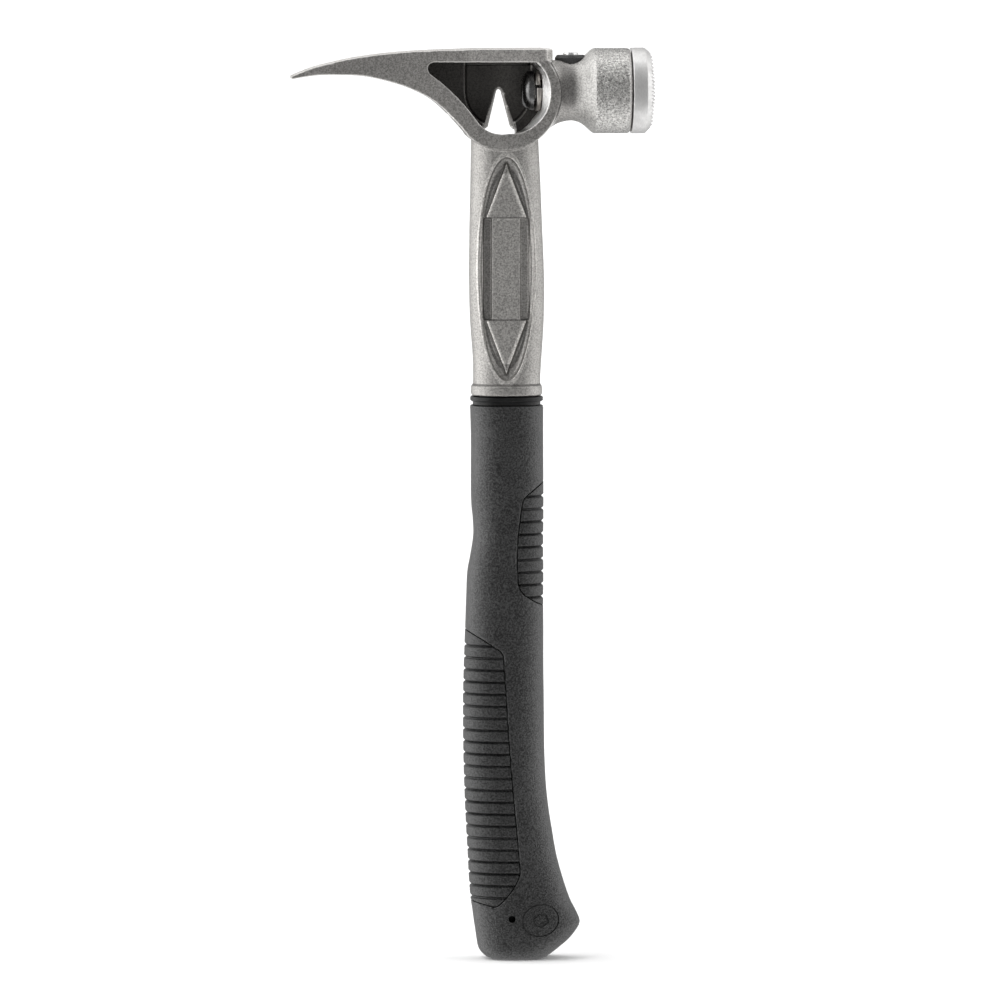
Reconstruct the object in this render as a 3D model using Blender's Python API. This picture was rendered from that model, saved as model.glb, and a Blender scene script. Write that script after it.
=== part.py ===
"""A short titanium framing hammer with a screw-on steel face, a nail-starter magnet and a moulded grip.

+Z runs up the handle to the head, +X points out of the striking face, and Y = 0 is the mid-plane.
The origin lies on the flat end of the grip. Every size below is in millimetres; MM turns it into metres.
"""

import math

import bmesh
import bpy

MM = 0.001
GAP = 0.3  # clearance between pieces that touch

# Head casting, side view
AXIS_Z = 367.6  # height of the axis through screw, barrel and striking face
CHEEK = 13.2  # half the thickness of the ring and of the block above it
RING_X = -1.2
RING_Z = 366.0
RING_RADIUS = 23.2
BLOCK_FRONT = 18.9  # front face of the block, which a nail head rests on
BLOCK_TOP = 385.5
BLOCK_EDGE = 2.6  # chamfer on the block's two front corners
NOTCH_Z = 380.3  # floor of the nail-head notch between block and magnet
POLL_FLAT = 12.8  # the poll's flare beside the ring is flattened to this half thickness
POLL_FLAT_END = 24.2
CLAW_TOP = ((-90.9, 373.7), (-87.0, 375.5), (-78.6, 378.4), (-61.7, 382.0), (-40.0, 384.3), (-12.0, 385.4))
CLAW_UNDER = ((-17.6, 350.2), (-23.4, 356.6), (-31.0, 363.5), (-39.9, 368.6), (-49.2, 371.9), (-61.7, 374.5),
              (-78.6, 374.6), (-90.9, 372.6))

# Claw, top view
CLAW_SIDE = ((-92.0, 8.4), (-70.0, 8.9), (-48.0, 9.6), (-32.0, 11.0), (-18.0, 12.7), (-6.0, CHEEK))
SLOT_TIP_HALF = 4.3
SLOT_END_X = -60.0
SLOT_END_RADIUS = 1.3

# Side pocket with the nail-puller plate at its far side
POCKET_TOP = 379.7
POCKET_CORNER = (-31.0, 377.2)
POCKET_CORNER_RADIUS = 2.5
POCKET_DIAGONAL = ((-32.6, 374.9), (-27.5, 371.0), (-21.2, 365.1), (-16.3, 359.7), (-12.6, 355.2), (-9.6, 352.5),
                   (-6.0, 350.9), (-2.4, 350.5))
POCKET_CENTRE = (1.0, 367.2)
POCKET_RADIUS = 16.7
POCKET_ARC = -80  # angle at which the round right-hand wall begins
POCKET_INNER_CENTRE = (0.2, 367.0)  # the same wall behind the lip, flat where the washer sits
POCKET_INNER_RADIUS = 16.2
POCKET_FLATNESS = 0.15  # share of the roundness left in the part that is nearly flat
POCKET_LIP = 4.0  # depth over which the right-hand wall slopes in
POCKET_DROP = 2.2  # how much lower the pocket's bottom runs behind the lip
POCKET_LOW = (356.0, 351.0)  # heights between which that comes in
SEAT_X = 15.1  # spot face that the washer sits on
SEAT_RADIUS = 8.9
SEAT_DEPTH = 0.5  # how deep it is cut into the pocket's wall
PLATE_INNER = 9.2  # the plate fills from here to the far cheek
PLATE_STEP = 0.9
PLATE_STEP_MARGIN = 1.4  # below the top of the pocket
PLATE_STEP_X = (-16.2, 10.6)
PLATE_STEP_Z = (351.2, 361.5)  # lowest point of the U, and where its sides turn straight
NOTCH_APEX = (-2.4, 367.0)
NOTCH_RADIUS = 0.9
NOTCH_FOOT = (-6.9, 2.5, 351.8)
NOTCH_FLARE = (-8.9, 4.4, 350.7)
NOTCH_LOW = 347.9
NOTCH_BEVEL = 1.2  # how much wider the notch is at the plate's inner face, at its apex
NOTCH_FOOT_BEVEL = 2.4  # and at its foot

# Neck, collar and tang: height, left edge, right edge, half depth
NECK = ((247.0, -13.9, 14.4, 11.0), (255.0, -14.0, 14.9, 11.2), (272.0, -15.2, 15.9, 11.5),
        (290.0, -15.6, 16.0, 11.6), (310.0, -15.4, 15.2, 11.5), (330.0, -15.0, 14.4, 11.4),
        (348.0, -14.7, 13.5, 11.4))
COLLAR_Z = (239.2, 243.8)
COLLAR = (-14.8, 15.2, 12.4)
COLLAR_EDGE = 0.7
TANG = (-10.0, 10.5, 5.5)
TANG_END = 24.0
ROUNDNESS = 2.5  # exponent of the oval sections: 2 is an ellipse, more is squarer

# Oval recess on both faces of the neck
LENS_X = -0.4
LENS_Z = 292.9
LENS_HALF = (12.0, 47.0)
LENS_WALL = 1.9  # how far the wall leans in
LENS_RIM = 9.0
LENS_FLOOR = 7.7
FACET_LEVEL = 8.8
FACET_HALF = 8.9
FACET_TIP = 2.6  # gap between a facet's tip and the tip of the recess
FACET_OVERRUN = 0.9  # how far a facet runs on before the well trims it
WELL_Z = (271.4, 314.4)
WELL_HALF = 9.7
WELL_FLOOR = 6.6
PANEL_HALF = 5.9
PANEL_LEVEL = 8.4

# Poll, revolved about the axis: position and radius
POLL = ((10.0, 14.0), (15.6, 16.9), (17.6, 16.4), (19.6, 15.0), (22.8, 13.4), (27.5, 12.6), (31.2, 13.5),
        (33.9, 15.2), (35.6, 17.0), (37.2, 18.05), (51.6, 18.05), (52.2, 17.5))
SCREW_HOLE_RADIUS = 5.2
SPIGOT_START = 36.5
SPIGOT_RADIUS = 9.7
START_GROOVE_RADIUS = 2.3  # groove along the top of barrel and face that a nail lies in
START_GROOVE_Z = AXIS_Z + 18.2

# Steel face
FACE_BACK = 52.6
FACE_SIDE = 58.4
FACE_EDGE = (61.5, 14.6)  # where the bevel meets the milled crown
FACE_TOP = 62.7
FACE_RADIUS = 18.2
TAPPED_END = 49.0
TOOTH_PITCH = 2.5
TOOTH_DEPTH = 0.9

# Screw and washer
HEAD_TOP = 7.1
HEAD_UNDER = 12.4
HEAD_RADIUS = 8.36
SHANK_RADIUS = 4.75
SHANK_END = 47.0
HEX_ACROSS = 5.56
HEX_DEPTH = 3.4
WASHER_X = (12.7, 14.8)
WASHER_RADII = (5.2, 8.65)
WASHER_GAP = 9.0  # opening of the split, in degrees
WASHER_SPRING = 0.5  # offset of the two ends
WASHER_SPLIT = 167.0  # where the split sits, in degrees about the axis from +Y

# Nail-starter magnet and its holder
MAGNET_X = 27.2
HOLDER_RADIUS = 6.6  # along X
HOLDER_DEPTH = 0.74  # its size along Y as a share of that along X
HOLDER_Z = (375.0, 382.6)
HOLDER_EDGE = 0.9
MAGNET_RADIUS = 3.15
MAGNET_Z = (378.0, 383.6)

# Grip outline: height, left edge, right edge, half depth
GRIP = ((0.0, -5.6, 15.6, 8.2), (1.1, -8.8, 17.7, 9.8), (4.2, -11.6, 21.8, 11.2), (8.4, -12.5, 26.8, 11.9),
        (12.6, -13.1, 30.1, 12.1), (15.0, -13.5, 31.3, 12.2), (17.0, -13.8, 31.1, 12.2),
        (21.0, -14.3, 29.3, 12.3), (25.3, -15.0, 27.1, 12.4), (33.8, -15.7, 24.2, 12.6),
        (44.0, -16.2, 21.4, 12.8), (54.1, -16.8, 19.6, 12.9), (64.3, -17.3, 18.0, 13.0),
        (74.5, -17.7, 16.9, 13.1), (89.7, -18.1, 16.2, 13.2), (110.1, -18.2, 16.0, 13.2),
        (127.0, -17.8, 15.8, 13.0), (140.6, -17.3, 15.8, 12.8), (152.4, -16.9, 15.7, 12.6),
        (164.3, -16.4, 15.8, 12.3), (171.1, -15.2, 15.7, 12.0), (179.6, -13.9, 15.7, 11.8),
        (186.3, -14.0, 15.8, 11.9), (196.5, -14.8, 15.8, 12.1), (220.2, -14.8, 15.7, 12.3),
        (235.2, -15.2, 15.7, 12.4))
SLEEVE_WALL = 2.7
CORE_START = 8.0
LIP_Z = (236.8, 238.9)
GROOVE_INSET = 1.2
PIN_HOLE = (1.8, 17.9)
PIN_HOLE_RADIUS = 1.5
PIN_HOLE_FLOOR = 10.4

# Ribbed panels, side view
REAR_PANEL = ((-24.0, 144.3), (-8.9, 135.6), (-2.0, 131.0), (-0.8, 114.9), (0.1, 99.1), (2.3, 70.5),
              (4.0, 53.2), (5.4, 37.0), (3.6, 32.7), (0.4, 27.9), (-4.7, 22.6), (-24.0, 27.4))
REAR_RIBS = (26.8, 5.09, 22)  # height of the lowest groove, spacing and count
FRONT_PANEL = ((24.0, 147.0), (13.8, 151.2), (7.7, 154.5), (4.4, 158.5), (3.9, 168.0), (4.1, 178.0),
               (5.4, 189.5), (6.6, 196.3), (14.3, 202.1), (24.0, 209.0))
FRONT_RIBS = (154.2, 5.33, 9)
RIB_GROOVE_DEPTH = 0.9
RIB_GROOVE_HALF = 0.75
PANEL_CLEARANCE = 0.35

ROUND_SEGMENTS = 40
SHAFT_SEGMENTS = 36
LENS_SEGMENTS = 48
GRIP_SEGMENTS = 32
SMALL_SEGMENTS = 28
SMOOTH_ANGLE = math.radians(35)


# ---------------------------------------------------------------- outlines

def spline(points, steps):
    """Points on a Catmull-Rom curve through the given points, of any number of coordinates."""
    padded = [points[0], *points, points[-1]]
    curve = []
    for i in range(len(points) - 1):
        before, start, end, after = padded[i:i + 4]
        for k in range(steps):
            t = k / steps
            curve.append(tuple(
                0.5 * (2 * b + (c - a) * t + (2 * a - 5 * b + 4 * c - d) * t ** 2
                       + (3 * b - a - 3 * c + d) * t ** 3)
                for a, b, c, d in zip(before, start, end, after)))
    return curve + [tuple(points[-1])]


def arc(centre, radius, start, end, steps):
    """Points on a circle from one angle to another, both in degrees."""
    angles = [math.radians(start + (end - start) * k / steps) for k in range(steps + 1)]
    return [(centre[0] + radius * math.cos(a), centre[1] + radius * math.sin(a)) for a in angles]


def oval(left, right, half_depth, segments):
    """A closed superellipse in X and Y between the left and right edges."""
    centre = (left + right) / 2
    half_width = (right - left) / 2
    ring = []
    for k in range(segments):
        angle = 2 * math.pi * k / segments
        cosine = math.cos(angle)
        sine = math.sin(angle)
        ring.append((centre + half_width * math.copysign(abs(cosine) ** (2 / ROUNDNESS), cosine),
                     half_depth * math.copysign(abs(sine) ** (2 / ROUNDNESS), sine)))
    return ring


def oval_at(stations, z, inset=0.0):
    """Left edge, right edge and half depth at a height, read between the stations."""
    for low, high in zip(stations, stations[1:]):
        if z <= high[0]:
            break
    t = (z - low[0]) / (high[0] - low[0])
    left, right, depth = (a + (b - a) * t for a, b in zip(low[1:], high[1:]))
    return left + inset, right - inset, depth - inset


# ---------------------------------------------------------------- solids

def to_object(name, bm):
    """Links the mesh as an object, as triangles: a bent quad would leave a Boolean with open edges."""
    bmesh.ops.triangulate(bm, faces=bm.faces)
    bmesh.ops.recalc_face_normals(bm, faces=bm.faces)
    mesh = bpy.data.meshes.new(name)
    bm.to_mesh(mesh)
    bm.free()
    obj = bpy.data.objects.new(name, mesh)
    bpy.context.scene.collection.objects.link(obj)
    return obj


def skin(name, loops):
    """A closed solid through a row of loops with equal point counts, capped at both ends."""
    bm = bmesh.new()
    rings = [[bm.verts.new([c * MM for c in point]) for point in loop] for loop in loops]
    for ring, following in zip(rings, rings[1:]):
        for i in range(len(ring)):
            j = (i + 1) % len(ring)
            bm.faces.new((ring[i], ring[j], following[j], following[i]))
    for end in (rings[0], rings[-1]):
        bm.faces.new(end)
    return to_object(name, bm)


def side_prism(name, outline, near, far):
    """An outline in X and Z extruded along Y."""
    return skin(name, [[(x, y, z) for x, z in outline] for y in (near, far)])


def side_loft(name, sections):
    """A solid through (y, outline in X and Z) pairs."""
    return skin(name, [[(x, y, z) for x, z in outline] for y, outline in sections])


def top_prism(name, outline, low, high):
    """An outline in X and Y extruded along Z."""
    return skin(name, [[(x, y, z) for x, y in outline] for z in (low, high)])


def tower(name, sections):
    """A solid through (z, outline in X and Y) pairs."""
    return skin(name, [[(x, y, z) for x, y in outline] for z, outline in sections])


def turned_about_axis(name, profile, segments=ROUND_SEGMENTS):
    """A solid of revolution about the head's X axis, from (x, radius) pairs."""
    loops = []
    for x, radius in profile:
        angles = [2 * math.pi * (k + 0.5) / segments for k in range(segments)]
        loops.append([(x, radius * math.cos(a), AXIS_Z + radius * math.sin(a)) for a in angles])
    return skin(name, loops)


def turned_upright(name, x, profile, depth=1.0, segments=SMALL_SEGMENTS):
    """A round or oval solid about a vertical line at x, from (radius, z) pairs."""
    unit = arc((0.0, 0.0), 1.0, 0, 360 * (1 - 1 / segments), segments - 1)
    return tower(name, [(z, [(x + radius * a, radius * depth * b) for a, b in unit])
                        for radius, z in profile])


def combine(target, other, operation, solver="EXACT"):
    """Adds a Boolean modifier and turns the other object into a hidden helper."""
    modifier = target.modifiers.new(other.name, "BOOLEAN")
    modifier.operation = operation
    modifier.object = other
    modifier.solver = solver
    other.hide_render = True
    other.display_type = "WIRE"


def cut(target, *cutters):
    for cutter in cutters:
        combine(target, cutter, "DIFFERENCE")


def join(target, *others):
    for other in others:
        combine(target, other, "UNION")


# ---------------------------------------------------------------- head casting

def head_outline():
    """Side view of claw, block and ring, from the claw's tip over the top and back underneath."""
    over = spline(CLAW_TOP, 4) + [(BLOCK_FRONT, BLOCK_TOP), (BLOCK_FRONT, NOTCH_Z)]
    ring = arc((RING_X, RING_Z), RING_RADIUS, 36, -132, 28)
    return over + ring + spline(CLAW_UNDER, 4)


def claw_plan():
    """Top view of the whole head, with the nail slot open at the claw's tip."""
    side = spline(CLAW_SIDE, 3) + [(RING_X + RING_RADIUS + 2, CHEEK)]
    slot = arc((SLOT_END_X, 0.0), SLOT_END_RADIUS, 70, -70, 6)
    mirrored = [(x, -y) for x, y in reversed(side)]
    return [(-92.0, SLOT_TIP_HALF)] + side + mirrored + [(-92.0, -SLOT_TIP_HALF)] + list(reversed(slot))


def block_corner_cutter(side):
    """Cuts the block's front corner on one side, above the ring."""
    edge = BLOCK_EDGE
    reach = 4 * edge
    outline = ((BLOCK_FRONT - edge, side * CHEEK), (BLOCK_FRONT + reach, side * (CHEEK - edge - reach)),
               (BLOCK_FRONT + reach, side * (CHEEK + reach)), (BLOCK_FRONT - edge, side * (CHEEK + reach)))
    return top_prism(f"block_corner_{'near' if side < 0 else 'far'}", outline, NOTCH_Z, BLOCK_TOP + 5)


def pocket_outline(centre, radius, drop, flat_from):
    """The pocket in side view, nearly flat to the right of flat_from.

    drop lowers its bottom, easing in between the two low heights.
    """
    start, full = POCKET_LOW
    corner = arc(POCKET_CORNER, POCKET_CORNER_RADIUS, 90, 205, 5)
    diagonal = spline(POCKET_DIAGONAL, 2)
    end = math.degrees(math.asin((POCKET_TOP - centre[1]) / radius))
    right = arc(centre, radius, POCKET_ARC, end, 18)
    return [(min(x, flat_from + (x - flat_from) * POCKET_FLATNESS), z - drop * min(1.0, max(0.0, (start - z) / (start - full))))
            for x, z in corner + diagonal + right]


def pocket_cutter():
    rim = pocket_outline(POCKET_CENTRE, POCKET_RADIUS, 0.0, BLOCK_FRONT)
    behind = pocket_outline(POCKET_INNER_CENTRE, POCKET_INNER_RADIUS, POCKET_DROP, SEAT_X - SEAT_DEPTH)
    return side_loft("pocket", ((-CHEEK - 2, rim), (-CHEEK, rim), (POCKET_LIP - CHEEK, behind),
                                (PLATE_INNER, behind)))


def plate_step_cutter():
    """A shallow U-shaped step in the nail-puller plate, inside the pocket."""
    left, right = PLATE_STEP_X
    low, turn = PLATE_STEP_Z
    floor = [((left + right) / 2 + (right - left) / 2 * x, turn + (turn - low) * z)
             for x, z in arc((0.0, 0.0), 1.0, 180, 360, 16)]
    outline = [(left, POCKET_TOP - PLATE_STEP_MARGIN)] + floor + [(right, POCKET_TOP - PLATE_STEP_MARGIN)]
    return side_prism("plate_step", outline, PLATE_INNER - 1, PLATE_INNER + PLATE_STEP)


def notch_outline(grow, grow_foot):
    """The V notch in the plate: round at its apex and flared at its foot."""
    left, right, foot = NOTCH_FOOT
    flare_left, flare_right, flare = NOTCH_FLARE
    apex = arc(NOTCH_APEX, NOTCH_RADIUS + grow, 165, 15, 8)
    flare_grow = grow_foot / 4
    return ([(flare_left - flare_grow, NOTCH_LOW), (flare_left - flare_grow, flare),
             (left - grow_foot, foot)] + apex
            + [(right + grow_foot, foot), (flare_right + flare_grow, flare),
               (flare_right + flare_grow, NOTCH_LOW)])


def screw_seat_cutter():
    """The spot face for the washer and the hole for the screw beyond it."""
    return turned_about_axis("screw_seat", ((2.0, SEAT_RADIUS), (SEAT_X, SEAT_RADIUS),
                                            (SEAT_X, SCREW_HOLE_RADIUS), (40.0, SCREW_HOLE_RADIUS)))


def notch_cutter():
    middle = (PLATE_INNER + PLATE_STEP + CHEEK) / 2
    wide = notch_outline(NOTCH_BEVEL, NOTCH_FOOT_BEVEL)
    narrow = notch_outline(0.0, 0.0)
    return side_loft("puller_notch", ((PLATE_INNER - 1, wide), (PLATE_INNER + PLATE_STEP, wide),
                                      (middle + 1, narrow), (CHEEK + 2, narrow)))


def shaft_sections():
    """Tang, collar and neck as one row of oval sections, from the bottom up."""
    low, high = COLLAR_Z
    left, right, depth = COLLAR
    edge = COLLAR_EDGE
    rows = [(TANG_END, -7.0, 7.5, 3.5), (TANG_END + 3, *TANG), (low, *TANG)]
    rows += [(low, left + edge, right - edge, depth - edge), (low + edge, left, right, depth)]
    rows += [(high - edge, left, right, depth), (high, left + edge, right - edge, depth - edge)]
    rows += [(high + 0.4, *NECK[0][1:])]
    rows += spline(NECK, 2)
    return [(z, oval(a, b, c, SHAFT_SEGMENTS)) for z, a, b, c in rows]


def lens_outline(shrink):
    """A tall ellipse, drawn in by the shrink on every side."""
    half_width, half_height = (half - shrink for half in LENS_HALF)
    unit = arc((0.0, 0.0), 1.0, 0, 360 * (1 - 1 / LENS_SEGMENTS), LENS_SEGMENTS - 1)
    return [(LENS_X + half_width * x, LENS_Z + half_height * z) for x, z in unit]


def lens_cutter(side):
    outline = lens_outline(0.0)
    return side_loft(f"lens_{'near' if side < 0 else 'far'}", (
        (side * 16.0, outline), (side * LENS_RIM, outline),
        (side * LENS_FLOOR, lens_outline(LENS_WALL))))


def facet_block(side, direction):
    """A triangular land at one end of the recess, with its tip towards the recess's tip."""
    base = (WELL_Z[1] if direction > 0 else WELL_Z[0]) - direction * FACET_OVERRUN
    tip = LENS_Z + direction * (LENS_HALF[1] - FACET_TIP)
    outline = ((LENS_X - FACET_HALF, base), (LENS_X + FACET_HALF, base), (LENS_X, tip))
    top = side * FACET_LEVEL
    return side_prism(f"facet_{side}_{direction}", outline, side * (LENS_FLOOR - 3), top)


def well_cutter(side):
    low, high = WELL_Z
    outline = ((LENS_X - WELL_HALF, low), (LENS_X + WELL_HALF, low), (LENS_X + WELL_HALF, high),
               (LENS_X - WELL_HALF, high))
    return side_prism(f"well_{side}", outline, side * WELL_FLOOR, side * 16.0)


def panel_block(side):
    low, high = WELL_Z
    outline = ((LENS_X - PANEL_HALF, low - 0.2), (LENS_X + PANEL_HALF, low - 0.2),
               (LENS_X + PANEL_HALF, high + 0.2), (LENS_X - PANEL_HALF, high + 0.2))
    return side_prism(f"panel_{side}", outline, side * (WELL_FLOOR - 3), side * PANEL_LEVEL)


def start_groove_cutter(name, start, end):
    """A round-bottomed channel along the top of barrel and face."""
    outline = arc((0.0, START_GROOVE_Z), START_GROOVE_RADIUS, 0, 345, 23)
    return skin(name, [[(x, y, z) for y, z in outline] for x in (start, end)])


def nail_head_cutter():
    """Clears the notch between the block's front face and the magnet."""
    front = BLOCK_FRONT
    outline = ((front, NOTCH_Z), (front + 5, NOTCH_Z), (front + 5, BLOCK_TOP + 6), (front, BLOCK_TOP + 6))
    return side_prism("nail_head_notch", outline, -CHEEK - 6, CHEEK + 6)


def poll_side_cutter(side):
    """Flattens the poll's flare beside the ring, so that the ring's cheek stands proud of it."""
    outline = ((0.0, side * POLL_FLAT), (POLL_FLAT_END, side * POLL_FLAT), (POLL_FLAT_END, side * 30.0),
               (0.0, side * 30.0))
    return top_prism(f"poll_flat_{'near' if side < 0 else 'far'}", outline, 330.0, 400.0)


def hammer_frame():
    frame = side_prism("hammer_frame", head_outline(), -CHEEK - 3, CHEEK + 3)
    combine(frame, top_prism("claw_plan", claw_plan(), 330.0, 400.0), "INTERSECT")
    cut(frame, block_corner_cutter(-1), block_corner_cutter(1))
    poll = turned_about_axis("poll", spline(POLL[:10], 2) + list(POLL[10:]))
    cut(poll, nail_head_cutter(), poll_side_cutter(-1), poll_side_cutter(1))
    shaft = tower("shaft", shaft_sections())
    for side in (-1, 1):
        cut(shaft, lens_cutter(side))
        join(shaft, facet_block(side, 1), facet_block(side, -1))
        cut(shaft, well_cutter(side))
        join(shaft, panel_block(side))
    join(frame, poll, shaft)
    for cutter in (pocket_cutter(), plate_step_cutter(), notch_cutter(), screw_seat_cutter()):
        combine(frame, cutter, "DIFFERENCE", "MANIFOLD")  # the exact solver fails where these overlap
    bore = SPIGOT_RADIUS + GAP
    cut(frame, turned_about_axis("spigot_bore", ((SPIGOT_START - GAP, bore), (60.0, bore))))
    cut(frame, start_groove_cutter("barrel_groove", 34.6, 60.0))
    bore = HOLDER_RADIUS + GAP / HOLDER_DEPTH
    cut(frame, turned_upright("magnet_bore", MAGNET_X, ((bore, HOLDER_Z[0] - GAP), (bore, 392.0)), HOLDER_DEPTH))
    return frame


# ---------------------------------------------------------------- striking face, screw, washer, magnet

def tooth_sheet():
    """A slab whose front is a grid of pyramids that follow the crown of the face."""
    half = math.ceil((FACE_RADIUS + 1) / TOOTH_PITCH)
    count = 4 * half + 1
    crown = (FACE_TOP - FACE_EDGE[0]) / FACE_EDGE[1] ** 2
    bm = bmesh.new()
    front = {}
    for i in range(count):
        for j in range(count):
            y = (i - 2 * half) * TOOTH_PITCH / 2
            z = (j - 2 * half) * TOOTH_PITCH / 2
            valley = i % 2 == 1 or j % 2 == 1
            x = FACE_TOP - crown * (y * y + z * z) - TOOTH_DEPTH * valley
            front[i, j] = bm.verts.new((x * MM, y * MM, (AXIS_Z + z) * MM))
    for i in range(count - 1):
        for j in range(count - 1):
            corners = (front[i, j], front[i + 1, j], front[i + 1, j + 1], front[i, j + 1])
            bm.faces.new(corners)
    border = [edge for edge in bm.edges if edge.is_boundary]
    back = bmesh.ops.extrude_edge_only(bm, edges=border)["geom"]
    rim = [item for item in back if isinstance(item, bmesh.types.BMVert)]
    for vert in rim:
        vert.co.x = (FACE_BACK - 30) * MM
    bmesh.ops.holes_fill(bm, edges=[edge for edge in bm.edges if edge.is_boundary])
    return to_object("tooth_sheet", bm)


def crown_profile():
    """The face without teeth, slightly proud of them so that the sheet alone shapes the crown."""
    side, edge = FACE_SIDE, FACE_EDGE
    spigot_tip = SPIGOT_START + 0.8
    return ((SPIGOT_START, SPIGOT_RADIUS - 0.8), (spigot_tip, SPIGOT_RADIUS), (FACE_BACK, SPIGOT_RADIUS),
            (FACE_BACK, FACE_RADIUS - 0.5), (FACE_BACK + 0.5, FACE_RADIUS), (side, FACE_RADIUS),
            (edge[0] + 0.1, edge[1] + 0.3), (FACE_TOP + 2, edge[1] + 0.3))


def steel_face():
    face = turned_about_axis("steel_face", crown_profile())
    combine(face, tooth_sheet(), "INTERSECT")
    bore = SHANK_RADIUS + GAP
    cut(face, turned_about_axis("tapped_hole", ((SPIGOT_START - 5, bore), (TAPPED_END - 1.5, bore),
                                                (TAPPED_END, bore * 0.4)), SMALL_SEGMENTS))
    cut(face, start_groove_cutter("face_groove", FACE_BACK - 3, FACE_TOP + 5))
    return face


def face_screw():
    dome = arc((HEAD_UNDER - 1.4, 0.0), 1.0, 0, 90, 6)
    reach = HEAD_UNDER - 1.4 - HEAD_TOP
    domed = [(HEAD_UNDER - 1.4 - reach * z, HEAD_RADIUS * (0.42 + 0.58 * (x - dome[-1][0])))
             for x, z in reversed(dome)]
    shank = [(HEAD_UNDER, HEAD_RADIUS - 0.3), (HEAD_UNDER, SHANK_RADIUS), (SHANK_END - 1.0, SHANK_RADIUS),
             (SHANK_END, SHANK_RADIUS - 1.0)]
    screw = turned_about_axis("face_screw", domed + shank, SMALL_SEGMENTS)
    corner = HEX_ACROSS / 2 / math.cos(math.radians(30))
    hexagon = arc((0.0, AXIS_Z), corner, 0, 300, 5)
    cut(screw, skin("hex_socket", [[(x, y, z) for y, z in hexagon]
                                   for x in (HEAD_TOP - 3, HEAD_TOP + HEX_DEPTH)]))
    return screw


def lock_washer():
    """A split ring whose two ends are sprung apart along the axis."""
    low, high = WASHER_X
    inner, outer = WASHER_RADII
    steps = 40
    loops = []
    for k in range(steps + 1):
        share = k / steps
        angle = math.radians(WASHER_SPLIT + WASHER_GAP / 2 + (360 - WASHER_GAP) * share)
        start = low + WASHER_SPRING * (1 - share)
        end = high - WASHER_SPRING * share
        loops.append([(x, radius * math.cos(angle), AXIS_Z + radius * math.sin(angle))
                      for x, radius in ((start, inner), (end, inner), (end, outer), (start, outer))])
    return skin("lock_washer", loops)


def magnet_holder():
    low, high = HOLDER_Z
    edge = HOLDER_EDGE
    holder = turned_upright("magnet_holder", MAGNET_X, (
        (HOLDER_RADIUS, low), (HOLDER_RADIUS, high - 1.4 * edge), (HOLDER_RADIUS - edge, high)), HOLDER_DEPTH)
    well = MAGNET_RADIUS + GAP
    cut(holder, turned_upright("magnet_well", MAGNET_X, ((well, MAGNET_Z[0] - GAP), (well, high + 3))))
    return holder


def nail_magnet():
    low, high = MAGNET_Z
    return turned_upright("nail_magnet", MAGNET_X, (
        (MAGNET_RADIUS, low), (MAGNET_RADIUS, high - 0.4), (MAGNET_RADIUS - 0.4, high)))


# ---------------------------------------------------------------- grip

def grip_tower(name, heights, inset):
    """A solid that follows the grip's outline, pulled in by the inset."""
    return tower(name, [(z, oval(*oval_at(GRIP, z, inset), GRIP_SEGMENTS)) for z in heights])


def grip_core():
    """Rigid first moulding on the tang, which shows as a thin lip above the sleeve."""
    top = GRIP[-1][0]
    inner = SLEEVE_WALL + GAP
    heights = [CORE_START] + [z for z, *_ in GRIP[4:-1:3]] + [top + GAP]
    rows = [(z, oval(*oval_at(GRIP, z, inner), GRIP_SEGMENTS)) for z in heights]
    for z, inset in ((top + GAP, GROOVE_INSET), (LIP_Z[0], GROOVE_INSET), (LIP_Z[0] + 0.4, 0.2),
                     (LIP_Z[1] - 0.3, 0.0), (LIP_Z[1], 0.3)):
        rows.append((z, oval(*oval_at(GRIP, top, inset), GRIP_SEGMENTS)))
    core = tower("grip_core", rows)
    left, right, depth = TANG
    socket = oval(left - GAP, right + GAP, depth + GAP, GRIP_SEGMENTS)
    cut(core, tower("tang_socket", [(TANG_END - GAP, socket), (LIP_Z[1] + 5, socket)]))
    return core


def grip_sleeve():
    """Soft outer moulding with a window for each ribbed panel."""
    sleeve = grip_tower("grip_sleeve", [z for z, *_ in GRIP], 0.0)
    top = GRIP[-1][0]
    heights = [CORE_START - GAP] + [z for z, *_ in GRIP[4:-1:3]] + [top]
    rows = [(z, oval(*oval_at(GRIP, z, SLEEVE_WALL), GRIP_SEGMENTS)) for z in heights]
    rows.append((top + 5, oval(*oval_at(GRIP, top, SLEEVE_WALL), GRIP_SEGMENTS)))
    cut(sleeve, tower("core_space", rows))
    cut(sleeve, side_prism("rear_window", REAR_PANEL, -30.0, 30.0))
    cut(sleeve, side_prism("front_window", FRONT_PANEL, -30.0, 30.0))
    hole = arc(PIN_HOLE, PIN_HOLE_RADIUS, 0, 345, 23)
    cut(sleeve, side_prism("pin_hole", hole, -20.0, -PIN_HOLE_FLOOR))
    return sleeve


def shrunk(outline, clearance):
    """The outline moved inwards by the clearance, corner by corner."""
    count = len(outline)
    area = sum(outline[i - 1][0] * outline[i][1] - outline[i][0] * outline[i - 1][1] for i in range(count))
    turn = math.copysign(1.0, area)
    moved = []
    for i in range(count):
        normals = []
        for a, b in ((outline[i - 1], outline[i]), (outline[i], outline[(i + 1) % count])):
            length = math.dist(a, b)
            normals.append((-turn * (b[1] - a[1]) / length, turn * (b[0] - a[0]) / length))
        (ax, az), (bx, bz) = normals
        scale = clearance / (1 + ax * bx + az * bz)
        moved.append((outline[i][0] + (ax + bx) * scale, outline[i][1] + (az + bz) * scale))
    return moved


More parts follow.
